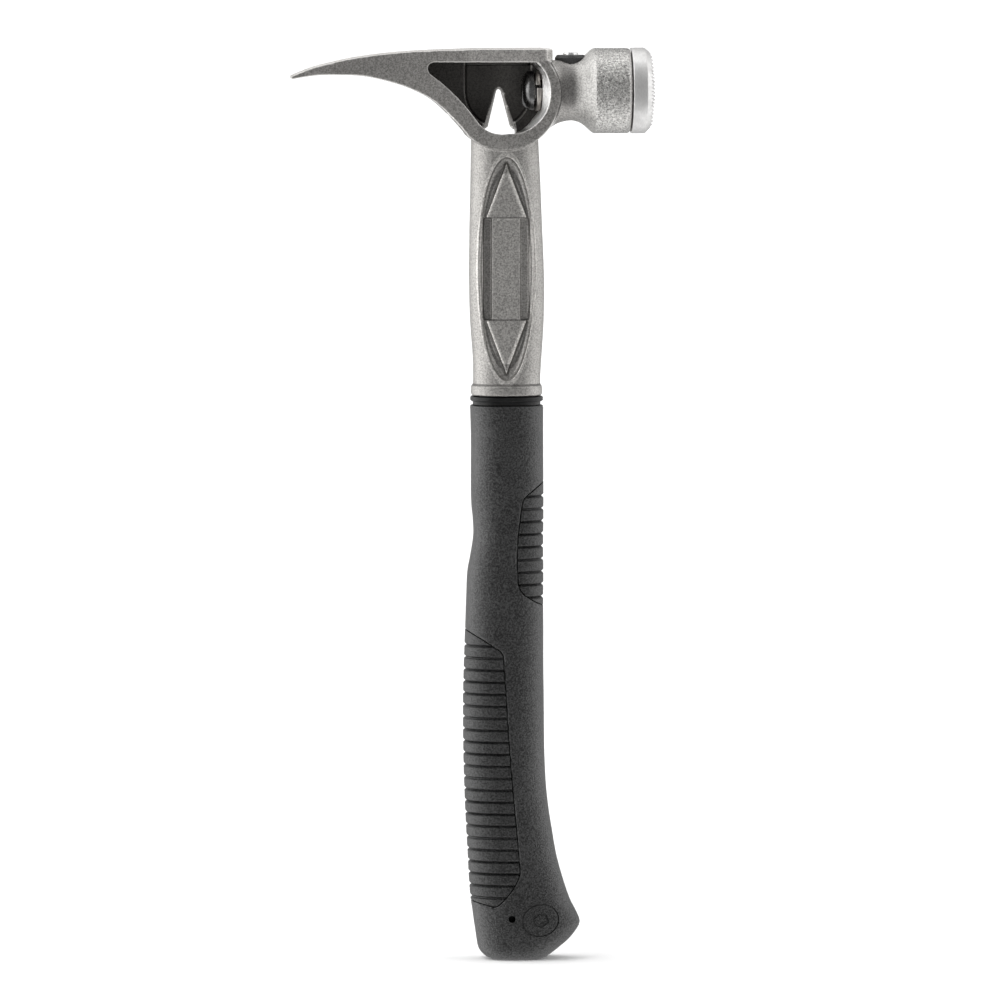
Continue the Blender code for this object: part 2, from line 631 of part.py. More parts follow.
def rib_heights(ribs):
    """(height, depth of groove) pairs up a ribbed panel."""
    first, pitch, count = ribs
    half = RIB_GROOVE_HALF
    rows = [(first - pitch, 0.0)]
    for k in range(count):
        z = first + k * pitch
        rows += [(z - half, 0.0), (z, RIB_GROOVE_DEPTH), (z + half, 0.0)]
    return rows + [(first + count * pitch, 0.0), (first + (count + 1) * pitch, 0.0)]


def ribbed_panel(name, outline, ribs):
    """A saddle of the grip's skin with grooves across it."""
    rows = rib_heights(ribs)
    panel = tower(name, [(z, oval(*oval_at(GRIP, z, depth), GRIP_SEGMENTS)) for z, depth in rows])
    combine(panel, side_prism(f"{name}_outline", shrunk(outline, PANEL_CLEARANCE), -30.0, 30.0), "INTERSECT")
    heights = [rows[0][0] - 5] + [z for z, *_ in GRIP if rows[0][0] < z < rows[-1][0]] + [rows[-1][0] + 5]
    cut(panel, grip_tower(f"{name}_back", heights, SLEEVE_WALL))
    return panel


# ---------------------------------------------------------------- materials and assembly

def finish(obj, colour, roughness, metallic):
    """Gives the object its own material and smooth shading with crisp edges."""
    material = bpy.data.materials.new(obj.name)
    material.use_nodes = True
    shader = material.node_tree.nodes["Principled BSDF"]
    shader.inputs["Base Color"].default_value = (*colour, 1.0)
    shader.inputs["Roughness"].default_value = roughness
    shader.inputs["Metallic"].default_value = metallic
    obj.data.materials.append(material)
    obj.data.shade_smooth()
    obj.data.set_sharp_from_angle(angle=SMOOTH_ANGLE)


def place_on_axis(obj, x):
    """Moves the object's origin onto the screw axis without moving its shape."""
    origin = (x * MM, 0.0, AXIS_Z * MM)
    for vert in obj.data.vertices:
        vert.co = [c - o for c, o in zip(vert.co, origin)]
    obj.location = origin


def main():
    for obj in list(bpy.data.objects):
        bpy.data.objects.remove(obj, do_unlink=True)

    finish(hammer_frame(), (0.30, 0.29, 0.28), 0.5, 1.0)
    face = steel_face()
    screw = face_screw()
    washer = lock_washer()
    finish(face, (0.55, 0.54, 0.53), 0.35, 1.0)
    finish(screw, (0.10, 0.10, 0.10), 0.35, 1.0)
    finish(washer, (0.35, 0.33, 0.30), 0.35, 1.0)
    for obj, x in ((face, FACE_BACK), (screw, HEAD_UNDER), (washer, WASHER_X[0])):
        place_on_axis(obj, x)

    finish(magnet_holder(), (0.06, 0.06, 0.06), 0.5, 0.6)
    finish(nail_magnet(), (0.60, 0.60, 0.60), 0.2, 1.0)
    finish(grip_core(), (0.03, 0.03, 0.03), 0.5, 0.0)
    finish(grip_sleeve(), (0.03, 0.03, 0.03), 0.7, 0.0)
    finish(ribbed_panel("rear_rib_panel", REAR_PANEL, REAR_RIBS), (0.04, 0.04, 0.04), 0.7, 0.0)
    finish(ribbed_panel("front_rib_panel", FRONT_PANEL, FRONT_RIBS), (0.04, 0.04, 0.04), 0.7, 0.0)


main()
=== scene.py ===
"""Looks for the framing hammer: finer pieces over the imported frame, their materials, studio and camera.

+Z runs up the handle, +X out of the striking face, -Y towards the open side of the pocket. Sizes are in
millimetres until MM turns them into metres.
"""
import math

import bmesh
import bpy
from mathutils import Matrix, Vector


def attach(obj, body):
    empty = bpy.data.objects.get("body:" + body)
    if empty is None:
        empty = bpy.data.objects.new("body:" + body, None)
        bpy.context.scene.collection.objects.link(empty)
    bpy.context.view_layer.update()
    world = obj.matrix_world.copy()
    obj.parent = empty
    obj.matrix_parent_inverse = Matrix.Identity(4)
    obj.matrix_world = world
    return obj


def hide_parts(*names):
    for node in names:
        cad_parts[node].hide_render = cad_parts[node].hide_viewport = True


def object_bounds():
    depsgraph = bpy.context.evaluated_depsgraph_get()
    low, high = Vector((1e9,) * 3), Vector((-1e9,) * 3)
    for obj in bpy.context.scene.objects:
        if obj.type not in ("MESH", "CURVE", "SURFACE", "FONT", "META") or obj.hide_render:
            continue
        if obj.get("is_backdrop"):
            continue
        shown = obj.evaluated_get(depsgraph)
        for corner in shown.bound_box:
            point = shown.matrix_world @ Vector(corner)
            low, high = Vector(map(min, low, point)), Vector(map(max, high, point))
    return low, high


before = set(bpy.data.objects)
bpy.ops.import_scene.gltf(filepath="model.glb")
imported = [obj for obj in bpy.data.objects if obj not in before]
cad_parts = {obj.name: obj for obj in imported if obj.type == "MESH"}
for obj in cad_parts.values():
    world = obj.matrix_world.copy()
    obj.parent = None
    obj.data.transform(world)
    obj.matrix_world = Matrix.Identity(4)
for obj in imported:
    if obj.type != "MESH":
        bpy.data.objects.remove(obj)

MM = 0.001
GAP = 0.3

# Casting
AXIS_Z = 367.6
CHEEK = 13.2
RING_X, RING_Z, RING_RADIUS, RING_ARC = -1.2, 366.0, 23.2, (36, -132)
BLOCK_FRONT, BLOCK_TOP, BLOCK_EDGE = 18.9, 385.4, 2.6
NOTCH_Z = 380.3
POLL_FLAT, POLL_FLAT_END = 12.8, 24.2
CLAW_TOP = ((-90.8, 373.8), (-87.0, 375.5), (-78.6, 378.4), (-61.7, 382.0), (-40.0, 384.3), (-12.0, 385.3))
CLAW_UNDER = ((-17.6, 350.2), (-23.4, 356.6), (-31.0, 363.5), (-39.9, 368.3), (-49.2, 371.5), (-61.7, 374.1),
              (-78.6, 374.4), (-90.8, 372.7))
CLAW_SIDE = ((-92.0, 8.4), (-70.0, 8.9), (-48.0, 9.6), (-32.0, 11.0), (-18.0, 12.7), (-6.0, CHEEK))
SLOT_TIP_HALF, SLOT_END_X, SLOT_END_RADIUS, SLOT_END_ARC = 4.3, -60.0, 1.3, (70, -70)
POCKET_TOP = 379.7
POCKET_CORNER, POCKET_CORNER_RADIUS, POCKET_CORNER_ARC = (-31.0, 377.2), 2.5, (90, 205)
POCKET_DIAGONAL = ((-32.6, 374.9), (-27.5, 371.0), (-21.2, 365.1), (-16.3, 359.6), (-12.6, 354.9),
                   (-9.6, 352.0), (-6.0, 350.3), (-2.4, 349.8))
POCKET_CENTRE, POCKET_RADIUS, POCKET_ARC = (1.0, 366.9), 17.0, -80
POCKET_INNER_CENTRE, POCKET_INNER_RADIUS = (0.2, 367.0), 16.2
POCKET_LIP, POCKET_DROP, POCKET_LOW = 4.0, 2.2, (356.0, 351.0)
SEAT_START, SEAT_X, SEAT_RADIUS, SEAT_DEPTH = 2.0, 14.8, 8.9, 0.3
POCKET_FLATNESS = 0.15
PLATE_INNER, PLATE_STEP, PLATE_STEP_MARGIN, PLATE_STEP_SLOPE = 9.2, 1.0, 1.4, 0.9
PLATE_STEP_X, PLATE_STEP_Z = (-16.2, 10.6), (352.6, 367.6)
NOTCH_APEX, NOTCH_RADIUS, NOTCH_ARC = (-2.4, 367.0), 0.8, (165, 15)
NOTCH_FOOT, NOTCH_FLARE, NOTCH_LOW = (-6.8, 2.4, 351.8), (-8.9, 4.4, 350.7), 347.9
NOTCH_BEVEL, NOTCH_FOOT_BEVEL = 1.2, 2.4
NECK = ((247.0, -13.9, 14.4, 11.0), (255.0, -14.0, 14.9, 11.2), (272.0, -15.2, 15.9, 11.5),
        (290.0, -15.6, 16.0, 11.6), (310.0, -15.4, 15.2, 11.5), (330.0, -15.0, 14.4, 11.4),
        (348.0, -14.7, 13.5, 11.4))
COLLAR_Z, COLLAR, COLLAR_EDGE = (239.2, 243.8), (-14.8, 15.2, 12.4), 0.7
TANG, TANG_END = (-10.0, 10.5, 5.5), 222.0
LENS_X, LENS_Z, LENS_HALF = -0.4, 292.9, (12.0, 47.0)
LENS_WALL, LENS_RIM, LENS_FLOOR = 1.3, 9.0, 7.7
FACET_LEVEL, FACET_HALF, FACET_TIP, FACET_OVERRUN = 8.8, 8.9, 2.6, 0.9
WELL_Z, WELL_HALF, WELL_FLOOR = (271.4, 314.4), 9.7, 6.6
PANEL_HALF, PANEL_LEVEL, RIDGE, RIDGE_HEIGHT = 5.9, 8.4, 0.8, 0.35
POLL = ((10.0, 14.0), (15.6, 16.9), (17.6, 16.4), (19.6, 15.0), (22.8, 13.4), (27.5, 12.6), (31.2, 13.6),
        (33.4, 15.2), (35.3, 16.9), (36.8, 18.05), (51.3, 18.05), (52.2, 17.25))
POLL_CURVED = 10
SCREW_HOLE_RADIUS, SCREW_HOLE_END = 5.2, 40.0
SPIGOT_START, SPIGOT_RADIUS = 36.5, 9.7
GROOVE_RADIUS, GROOVE_Z, GROOVE_START = 2.3, AXIS_Z + 18.2, 34.6

# Striking face, screw, washer, magnet
FACE_BACK, FACE_SIDE, FACE_EDGE, FACE_TOP, FACE_RADIUS = 52.6, 58.4, (61.5, 14.6), 62.7, 18.1
TOOTH_PITCH, TOOTH_DEPTH, TOOTH_FLAT, TOOTH_SINK = 1.5, 0.95, 0.34, 0.05
FACE_ROUNDING = 0.45
HEAD_TOP, HEAD_UNDER, HEAD_RADIUS = 6.5, 11.7, 8.36
SHANK_RADIUS, SHANK_END, THREAD_PITCH, THREAD_DEPTH = 4.75, 47.0, 1.5875, 0.85
DOME_EDGE, DOME_FLAT = 1.2, 0.44
HEX_ACROSS, HEX_DEPTH = 5.56, 3.4
WASHER_X, WASHER_RADII, WASHER_GAP, WASHER_SPRING, WASHER_SPLIT = (12.0, 14.5), (5.2, 8.65), 9.0, 0.5, 167.0
MAGNET_X, HOLDER_RADIUS, HOLDER_DEPTH, HOLDER_Z, HOLDER_EDGE = 27.2, 6.6, 0.74, (375.0, 382.6), 0.9
MAGNET_RADIUS, MAGNET_BORE, MAGNET_Z = 3.15, 1.1, (378.0, 383.6)

# Grip
GRIP = ((0.0, -5.6, 15.6, 8.2), (1.1, -8.8, 17.7, 9.8), (4.2, -11.6, 21.8, 11.2), (8.4, -12.5, 26.8, 11.9),
        (12.6, -13.1, 30.1, 12.1), (15.0, -13.5, 31.3, 12.2), (17.0, -13.8, 31.1, 12.2),
        (21.0, -14.3, 29.3, 12.3), (25.3, -15.0, 27.1, 12.4), (33.8, -15.7, 24.2, 12.6),
        (44.0, -16.2, 21.4, 12.8), (54.1, -16.8, 19.6, 12.9), (64.3, -17.3, 18.0, 13.0),
        (74.5, -17.7, 16.9, 13.1), (89.7, -18.1, 16.2, 13.2), (110.1, -18.2, 16.0, 13.2),
        (127.0, -17.8, 15.8, 13.0), (140.6, -17.3, 15.8, 12.8), (152.4, -16.9, 15.7, 12.6),
        (164.3, -16.4, 15.8, 12.3), (171.1, -15.2, 15.7, 12.0), (179.6, -13.9, 15.7, 11.8),
        (186.3, -14.0, 15.8, 11.9), (196.5, -14.8, 15.8, 12.1), (220.2, -14.8, 15.7, 12.3),
        (235.2, -15.2, 15.7, 12.4))
SLEEVE_WALL, CORE_START, LIP_Z, LIP_INSET = 2.7, 8.0, (236.8, 238.9), 1.2
PIN_HOLE, PIN_HOLE_RADIUS, PIN_HOLE_FLOOR = (1.8, 17.9), 1.5, 3.0
REAR_PANEL = ((-24.0, 144.3), (-8.9, 135.6), (-2.0, 131.0), (-0.8, 114.9), (0.1, 99.1), (2.3, 70.5),
              (4.0, 53.2), (5.4, 37.0), (3.6, 32.7), (0.4, 27.9), (-4.7, 22.6), (-24.0, 27.4))
FRONT_PANEL = ((24.0, 147.0), (13.8, 151.2), (7.7, 154.5), (4.4, 158.5), (3.9, 168.0), (4.1, 178.0),
               (5.4, 189.5), (6.6, 196.3), (14.3, 202.1), (24.0, 209.0))
REAR_RIBS, FRONT_RIBS = (26.8, 5.09, 22), (154.2, 5.33, 9)
RIB_DEPTH, RIB_HALF, RIB_SPREAD, RIB_POWER, PANEL_CLEARANCE, PANEL_CORNER = 1.05, 0.8, 1.2, 1.3, 0.3, 2.0
EMBLEM, EMBLEM_HALF, EMBLEM_TILT, EMBLEM_DEPTH = (13.9, 17.3), (8.0, 7.0), 12.0, 0.5
EMBLEM_OVAL, EMBLEM_NUT = (1.0, 0.92), (0.46, 0.34)

# How far cutters reach: round the head, past the poll, the magnet, the neck and the grip, and into a solid
HEAD_CLEAR, POLL_CLEAR, MAGNET_CLEAR = (330.0, 400.0), 60.0, 392.0
NECK_CLEAR, GRIP_CLEAR, GRIP_NEAR = 16.0, 30.0, -20.0
ROOT = 3

# Mesh fineness
ROUND, UPRIGHT, SHAFT, GRIP_SEGMENTS, INNER_SEGMENTS = 128, 96, 144, 160, 64
ROUNDNESS = 2.5
CASTING_VOXEL, CASTING_SMOOTHING = 0.42, 3
SLEEVE_VOXEL, SLEEVE_SMOOTHING = 0.5, 2

# Colours; a pair runs from the darkest to the lightest
HEAD_COLOUR, BARREL_COLOUR, NECK_COLOUR = (0.305, 0.296, 0.285), (0.45, 0.443, 0.43), (0.335, 0.326, 0.313)
# The pocket's plate colour is painted shade, its wall colour is painted light, and the edge colour is rubbed wear
# with a painted highlight.
PLATE_SHADE_COLOUR, WALL_LIGHT_COLOUR, WORN_EDGE_HIGHLIGHT_COLOUR = (0.08, 0.077, 0.073), (0.97, 0.96, 0.94), (0.75, 0.74, 0.72)
FACE_COLOURS, FACE_CLOUD = ((0.56, 0.555, 0.55), (0.7, 0.695, 0.69)), (0.53, 0.525, 0.52)
TOOTH_TIP, TOOTH_ROOT_SHADE = (0.74, 0.73, 0.72), (0.12, 0.118, 0.115)
SCREW_COLOURS = ((0.10, 0.10, 0.10), (0.17, 0.17, 0.17))
WASHER_COLOURS = ((0.31, 0.29, 0.265), (0.43, 0.41, 0.385))
MAGNET_COLOURS = ((0.6, 0.6, 0.6), (0.8, 0.8, 0.79))
HOLDER_COLOURS = ((0.03, 0.03, 0.03), (0.05, 0.05, 0.05))
LIP_COLOURS = ((0.002, 0.002, 0.002), (0.007, 0.007, 0.007))
RUBBER_COLOURS = ((0.0, 0.0, 0.0), (0.014, 0.0142, 0.0144))
RIB_COLOURS = ((0.0, 0.0, 0.0), (0.016, 0.0162, 0.0164))
FLOOR_COLOUR = (0.93, 0.93, 0.93)

# Painted light and shade: how bright the casting is in each mask, against 1 elsewhere; the recess level lightens
# the recess floor as a whole
SHADES = {"channel_shade": 0.55, "crease_shade": 0.5, "edges": 1.8, "step_highlight": 2.6, "step_shade": 0.4, "recess": 1.18,
          "top_light": 2.1, "corner": 1.35, "lintel_highlight": 1.4, "plate_right_light": 1.5, "plate_low_shade": 0.65, "ring_foot_shade": 0.35,
          "collar_shade_line": 0.45, "poll_dark_reflection": 0.62}


# ---------------------------------------------------------------- outlines

def spline(points, steps):
    """Points on a Catmull-Rom curve through the given points."""
    padded = [points[0], *points, points[-1]]
    curve = []
    for i in range(len(points) - 1):
        before, start, end, after = padded[i:i + 4]
        for k in range(steps):
            t = k / steps
            curve.append(tuple(
                0.5 * (2 * b + (c - a) * t + (2 * a - 5 * b + 4 * c - d) * t ** 2
                       + (3 * b - a - 3 * c + d) * t ** 3)
                for a, b, c, d in zip(before, start, end, after)))
    return curve + [tuple(points[-1])]


def arc(centre, radius, start, end, steps):
    angles = [math.radians(start + (end - start) * k / steps) for k in range(steps + 1)]
    return [(centre[0] + radius * math.cos(a), centre[1] + radius * math.sin(a)) for a in angles]


def circle(centre, radius, segments):
    return arc(centre, radius, 0, 360 * (1 - 1 / segments), segments - 1)


def oval(left, right, half_depth, segments):
    """A closed superellipse in X and Y between the left and right edges."""
    centre, half_width = (left + right) / 2, (right - left) / 2
    ring = []
    for k in range(segments):
        angle = 2 * math.pi * (k + 0.5) / segments
        cosine, sine = math.cos(angle), math.sin(angle)
        size = (abs(cosine) ** ROUNDNESS + abs(sine) ** ROUNDNESS) ** (-1 / ROUNDNESS)
        ring.append((centre + half_width * size * cosine, half_depth * size * sine))
    return ring


def oval_at(stations, z, inset=0.0):
    """Left edge, right edge and half depth at a height, read between the stations."""
    for low, high in zip(stations, stations[1:]):
        if z <= high[0]:
            break
    t = (z - low[0]) / (high[0] - low[0])
    left, right, depth = (a + (b - a) * t for a, b in zip(low[1:], high[1:]))
    return left + inset, right - inset, depth - inset


# ---------------------------------------------------------------- solids

def to_object(name, bm):
    bmesh.ops.triangulate(bm, faces=bm.faces)
    bmesh.ops.recalc_face_normals(bm, faces=bm.faces)
    mesh = bpy.data.meshes.new(name)
    bm.to_mesh(mesh)
    bm.free()
    obj = bpy.data.objects.new(name, mesh)
    bpy.context.scene.collection.objects.link(obj)
    return obj


def skin(name, loops):
    """A closed solid through a row of loops with equal point counts, capped at both ends."""
    bm = bmesh.new()
    rings = [[bm.verts.new([c * MM for c in point]) for point in loop] for loop in loops]
    for ring, following in zip(rings, rings[1:]):
        for i in range(len(ring)):
            j = (i + 1) % len(ring)
            bm.faces.new((ring[i], ring[j], following[j], following[i]))
    for end in (rings[0], rings[-1]):
        bm.faces.new(end)
    return to_object(name, bm)


def side_loft(name, sections):
    """A solid through (y, outline in X and Z) pairs."""
    return skin(name, [[(x, y, z) for x, z in outline] for y, outline in sections])


def side_prism(name, outline, near, far):
    return side_loft(name, ((near, outline), (far, outline)))


def tower(name, sections):
    """A solid through (z, outline in X and Y) pairs."""
    return skin(name, [[(x, y, z) for x, y in outline] for z, outline in sections])


def top_prism(name, outline, low, high):
    return tower(name, ((low, outline), (high, outline)))


def turned_about_axis(name, profile, segments=ROUND):
    """A solid of revolution about the head's X axis, from (x, radius) pairs."""
    return skin(name, [[(x, y, z) for y, z in circle((0.0, AXIS_Z), radius, segments)]
                       for x, radius in profile])


def turned_upright(name, x, profile, depth=1.0):
    """A round or oval solid about a vertical line at x, from (radius, z) pairs."""
    unit = circle((0.0, 0.0), 1.0, UPRIGHT)
    return tower(name, [(z, [(x + radius * a, radius * depth * b) for a, b in unit])
                        for radius, z in profile])


def combine(target, other, operation, solver="MANIFOLD"):
    """Applies one Boolean and removes the other object."""
    modifier = target.modifiers.new("combine", "BOOLEAN")
    modifier.operation = operation
    modifier.object = other
    modifier.solver = solver
    bake(target)
    bpy.data.objects.remove(other)


def bake(obj):
    """Turns the object's modifiers into plain mesh."""
    graph = bpy.context.evaluated_depsgraph_get()
    mesh = bpy.data.meshes.new_from_object(obj.evaluated_get(graph), depsgraph=graph)
    obj.modifiers.clear()
    obj.data = mesh


def cut(target, *cutters):
    for cutter in cutters:
        combine(target, cutter, "DIFFERENCE")


def join(target, *others):
    for other in others:
        combine(target, other, "UNION")


def soften(obj, voxel, smoothing):
    """Rebuilds the surface on a fine grid and rounds its edges, as on a casting or a moulding."""
    remesh = obj.modifiers.new("remesh", "REMESH")
    remesh.mode = "VOXEL"
    remesh.voxel_size = voxel * MM
    remesh.use_smooth_shade = True
    bake(obj)
    smooth = obj.modifiers.new("smooth", "SMOOTH")
    smooth.factor = 0.5
    smooth.iterations = smoothing
    bake(obj)


def smooth_shade(obj, degrees):
    obj.data.shade_smooth()
    obj.data.set_sharp_from_angle(angle=math.radians(degrees))


# ---------------------------------------------------------------- casting

def head_outline():
    over = spline(CLAW_TOP, 10) + [(BLOCK_FRONT, BLOCK_TOP), (BLOCK_FRONT, NOTCH_Z)]
    ring = arc((RING_X, RING_Z), RING_RADIUS, *RING_ARC, 110)
    return over + ring + spline(CLAW_UNDER, 10)


def claw_plan():
    side = spline(CLAW_SIDE, 8) + [(RING_X + RING_RADIUS + 2, CHEEK)]
    slot = arc((SLOT_END_X, 0.0), SLOT_END_RADIUS, *SLOT_END_ARC, 12)
    mirrored = [(x, -y) for x, y in reversed(side)]
    tip = CLAW_SIDE[0][0]
    return [(tip, SLOT_TIP_HALF)] + side + mirrored + [(tip, -SLOT_TIP_HALF)] + list(reversed(slot))


def block_corner_cutter(side):
    edge, reach = BLOCK_EDGE, 4 * BLOCK_EDGE
    outline = ((BLOCK_FRONT - edge, side * CHEEK), (BLOCK_FRONT + reach, side * (CHEEK - edge - reach)),
               (BLOCK_FRONT + reach, side * (CHEEK + reach)), (BLOCK_FRONT - edge, side * (CHEEK + reach)))
    return top_prism("corner", outline, NOTCH_Z, BLOCK_TOP + 5)


def pocket_outline(centre, radius, drop, flat_from):
    """The pocket in side view, nearly flat to the right of flat_from.

    drop lowers its bottom, easing in between the two low heights.
    """
    start, full = POCKET_LOW
    corner = arc(POCKET_CORNER, POCKET_CORNER_RADIUS, *POCKET_CORNER_ARC, 12)
    diagonal = spline(POCKET_DIAGONAL, 8)
    end = math.degrees(math.asin((POCKET_TOP - centre[1]) / radius))
    right = arc(centre, radius, POCKET_ARC, end, 60)
    outline = []
    for x, z in corner + diagonal + right:
        lowered = min(1.0, max(0.0, (start - z) / (start - full)))
        outline.append((min(x, flat_from + (x - flat_from) * POCKET_FLATNESS), z - drop * lowered))
    return outline


def notch_outline(grow, grow_foot):
    left, right, foot = NOTCH_FOOT
    flare_left, flare_right, flare = NOTCH_FLARE
    apex = arc(NOTCH_APEX, NOTCH_RADIUS + grow, *NOTCH_ARC, 16)
    flare_grow = grow_foot / 4
    return ([(flare_left - flare_grow, NOTCH_LOW), (flare_left - flare_grow, flare),
             (left - grow_foot, foot)] + apex
            + [(right + grow_foot, foot), (flare_right + flare_grow, flare),
               (flare_right + flare_grow, NOTCH_LOW)])


def pocket_cutters():
    """The pocket, the step in its far plate, the nail-puller notch and the washer's seat."""
    rim = pocket_outline(POCKET_CENTRE, POCKET_RADIUS, 0.0, BLOCK_FRONT)
    behind = pocket_outline(POCKET_INNER_CENTRE, POCKET_INNER_RADIUS, POCKET_DROP, SEAT_X - SEAT_DEPTH)
    yield side_loft("pocket", ((-CHEEK - 2, rim), (-CHEEK, rim), (POCKET_LIP - CHEEK, behind),
                               (PLATE_INNER, behind)))
    left, right = PLATE_STEP_X
    low, turn = PLATE_STEP_Z
    sections = []
    for y, grow in ((PLATE_INNER - 1, PLATE_STEP_SLOPE), (PLATE_INNER - 0.1, PLATE_STEP_SLOPE),
                    (PLATE_INNER + PLATE_STEP, 0.0)):
        floor = [((left + right) / 2 + ((right - left) / 2 + grow) * x, turn + (turn - low + grow) * z)
                 for x, z in arc((0.0, 0.0), 1.0, 180, 360, 48)]
        top = POCKET_TOP - PLATE_STEP_MARGIN
        sections.append((y, [(left - grow, top)] + floor + [(right + grow, top)]))
    yield side_loft("step", sections)
    middle = (PLATE_INNER + PLATE_STEP + CHEEK) / 2
    wide, narrow = notch_outline(NOTCH_BEVEL, NOTCH_FOOT_BEVEL), notch_outline(0.0, 0.0)
    yield side_loft("notch", ((PLATE_INNER - 1, wide), (PLATE_INNER + PLATE_STEP, wide),
                              (middle + 1, narrow), (CHEEK + 2, narrow)))
    yield turned_about_axis("seat", ((SEAT_START, SEAT_RADIUS), (SEAT_X, SEAT_RADIUS),
                                     (SEAT_X, SCREW_HOLE_RADIUS), (SCREW_HOLE_END, SCREW_HOLE_RADIUS)))


def shaft_sections():
    """Tang, collar and neck, from the bottom up."""
    low, high = COLLAR_Z
    left, right, depth = COLLAR
    edge = COLLAR_EDGE
    rows = [(TANG_END, *TANG), (low, *TANG)]
    rows += [(low, left + edge, right - edge, depth - edge), (low + edge, left, right, depth)]
    rows += [(high - edge, left, right, depth), (high, left + edge, right - edge, depth - edge)]
    rows += [(high + 0.4, *NECK[0][1:])]
    rows += spline(NECK, 8)
    return [(z, oval(a, b, c, SHAFT)) for z, a, b, c in rows]


def lens_outline(shrink):
    half_width, half_height = (half - shrink for half in LENS_HALF)
    return [(LENS_X + half_width * x, LENS_Z + half_height * z) for x, z in circle((0.0, 0.0), 1.0, 160)]


def rectangle(centre, half, low, high):
    return ((centre - half, low), (centre + half, low), (centre + half, high), (centre - half, high))


def carve_neck(shaft, side):
    """The oval recess with its two triangular lands, the well between them and its raised panel."""
    outline = lens_outline(0.0)
    cut(shaft, side_loft("lens", ((side * NECK_CLEAR, outline), (side * LENS_RIM, outline),
                                  (side * LENS_FLOOR, lens_outline(LENS_WALL)))))
    for direction in (1, -1):
        base = (WELL_Z[1] if direction > 0 else WELL_Z[0]) - direction * FACET_OVERRUN
        tip = LENS_Z + direction * (LENS_HALF[1] - FACET_TIP)
        land = ((LENS_X - FACET_HALF, base), (LENS_X + FACET_HALF, base), (LENS_X, tip))
        join(shaft, side_prism("land", land, side * (LENS_FLOOR - ROOT), side * FACET_LEVEL))
        for edge in (-1, 1):
            foot = LENS_X + edge * FACET_HALF
            ridge = ((foot, base), (foot - edge * RIDGE, base), (LENS_X, tip - direction * 3 * RIDGE),
                     (LENS_X, tip))
            join(shaft, side_prism("ridge", ridge, side * (LENS_FLOOR - ROOT),
                                   side * (FACET_LEVEL + RIDGE_HEIGHT)))
    low, high = WELL_Z
    cut(shaft, side_prism("well", rectangle(LENS_X, WELL_HALF, low, high), side * WELL_FLOOR,
                          side * NECK_CLEAR))
    join(shaft, side_prism("panel", rectangle(LENS_X, PANEL_HALF, low - 0.2, high + 0.2),
                           side * (WELL_FLOOR - ROOT), side * PANEL_LEVEL))


def groove_cutter(start, end):
    outline = circle((0.0, GROOVE_Z), GROOVE_RADIUS, 48)
    return skin("groove", [[(x, y, z) for y, z in outline] for x in (start, end)])


def poll_body():
    poll = turned_about_axis("poll", spline(POLL[:POLL_CURVED], 8) + list(POLL[POLL_CURVED:]))
    front = BLOCK_FRONT
    cut(poll, side_prism("nail_head", ((front, NOTCH_Z), (front + 5, NOTCH_Z), (front + 5, BLOCK_TOP + 6),
                                       (front, BLOCK_TOP + 6)), -CHEEK - 6, CHEEK + 6))
    for side in (-1, 1):
        flat = ((0.0, side * POLL_FLAT), (POLL_FLAT_END, side * POLL_FLAT), (POLL_FLAT_END, side * 30.0),
                (0.0, side * 30.0))
        cut(poll, top_prism("flat", flat, *HEAD_CLEAR))
    return poll


def titanium_casting():
    head = side_prism("titanium_casting", head_outline(), -CHEEK - 3, CHEEK + 3)
    combine(head, top_prism("plan", claw_plan(), *HEAD_CLEAR), "INTERSECT")
    cut(head, block_corner_cutter(-1), block_corner_cutter(1))
    shaft = tower("shaft", shaft_sections())
    for side in (-1, 1):
        carve_neck(shaft, side)
    join(head, poll_body(), shaft)
    cut(head, *pocket_cutters())
    bore = SPIGOT_RADIUS + GAP
    cut(head, turned_about_axis("bore", ((SPIGOT_START - GAP, bore), (POLL_CLEAR, bore))))
    cut(head, groove_cutter(GROOVE_START, POLL_CLEAR))
    holder = HOLDER_RADIUS + GAP
    cut(head, turned_upright("magnet_bore", MAGNET_X, ((holder, HOLDER_Z[0] - GAP), (holder, MAGNET_CLEAR)),
                             HOLDER_DEPTH))
    soften(head, CASTING_VOXEL, CASTING_SMOOTHING)
    return head


# ---------------------------------------------------------------- striking face

def tooth_sheet():
    """A slab whose front is a grid of pyramids that follow the crown of the face."""
    per_tooth = 6
    half = math.ceil((FACE_RADIUS + 1) / TOOTH_PITCH)
    count = 2 * half * per_tooth + 1
    crown = (FACE_TOP - FACE_EDGE[0]) / FACE_EDGE[1] ** 2
    bm = bmesh.new()
    front = {}
    for i in range(count):
        for j in range(count):
            y = (i / per_tooth - half) * TOOTH_PITCH
            z = (j / per_tooth - half) * TOOTH_PITCH
            across = max(abs(i / per_tooth % 1 - 0.5), abs(j / per_tooth % 1 - 0.5)) * 2
            depth = TOOTH_DEPTH * max(0.0, across - TOOTH_FLAT) / (1 - TOOTH_FLAT)
            x = FACE_TOP - TOOTH_SINK - crown * (y * y + z * z) - depth
            front[i, j] = bm.verts.new((x * MM, y * MM, (AXIS_Z + z) * MM))
    for i in range(count - 1):
        for j in range(count - 1):
            bm.faces.new((front[i, j], front[i + 1, j], front[i + 1, j + 1], front[i, j + 1]))
    border = [edge for edge in bm.edges if edge.is_boundary]
    back = bmesh.ops.extrude_edge_only(bm, edges=border)["geom"]
    for item in back:
        if isinstance(item, bmesh.types.BMVert):
            item.co.x = (SPIGOT_START - 20) * MM
    bmesh.ops.holes_fill(bm, edges=[edge for edge in bm.edges if edge.is_boundary])
    return to_object("tooth_sheet", bm)


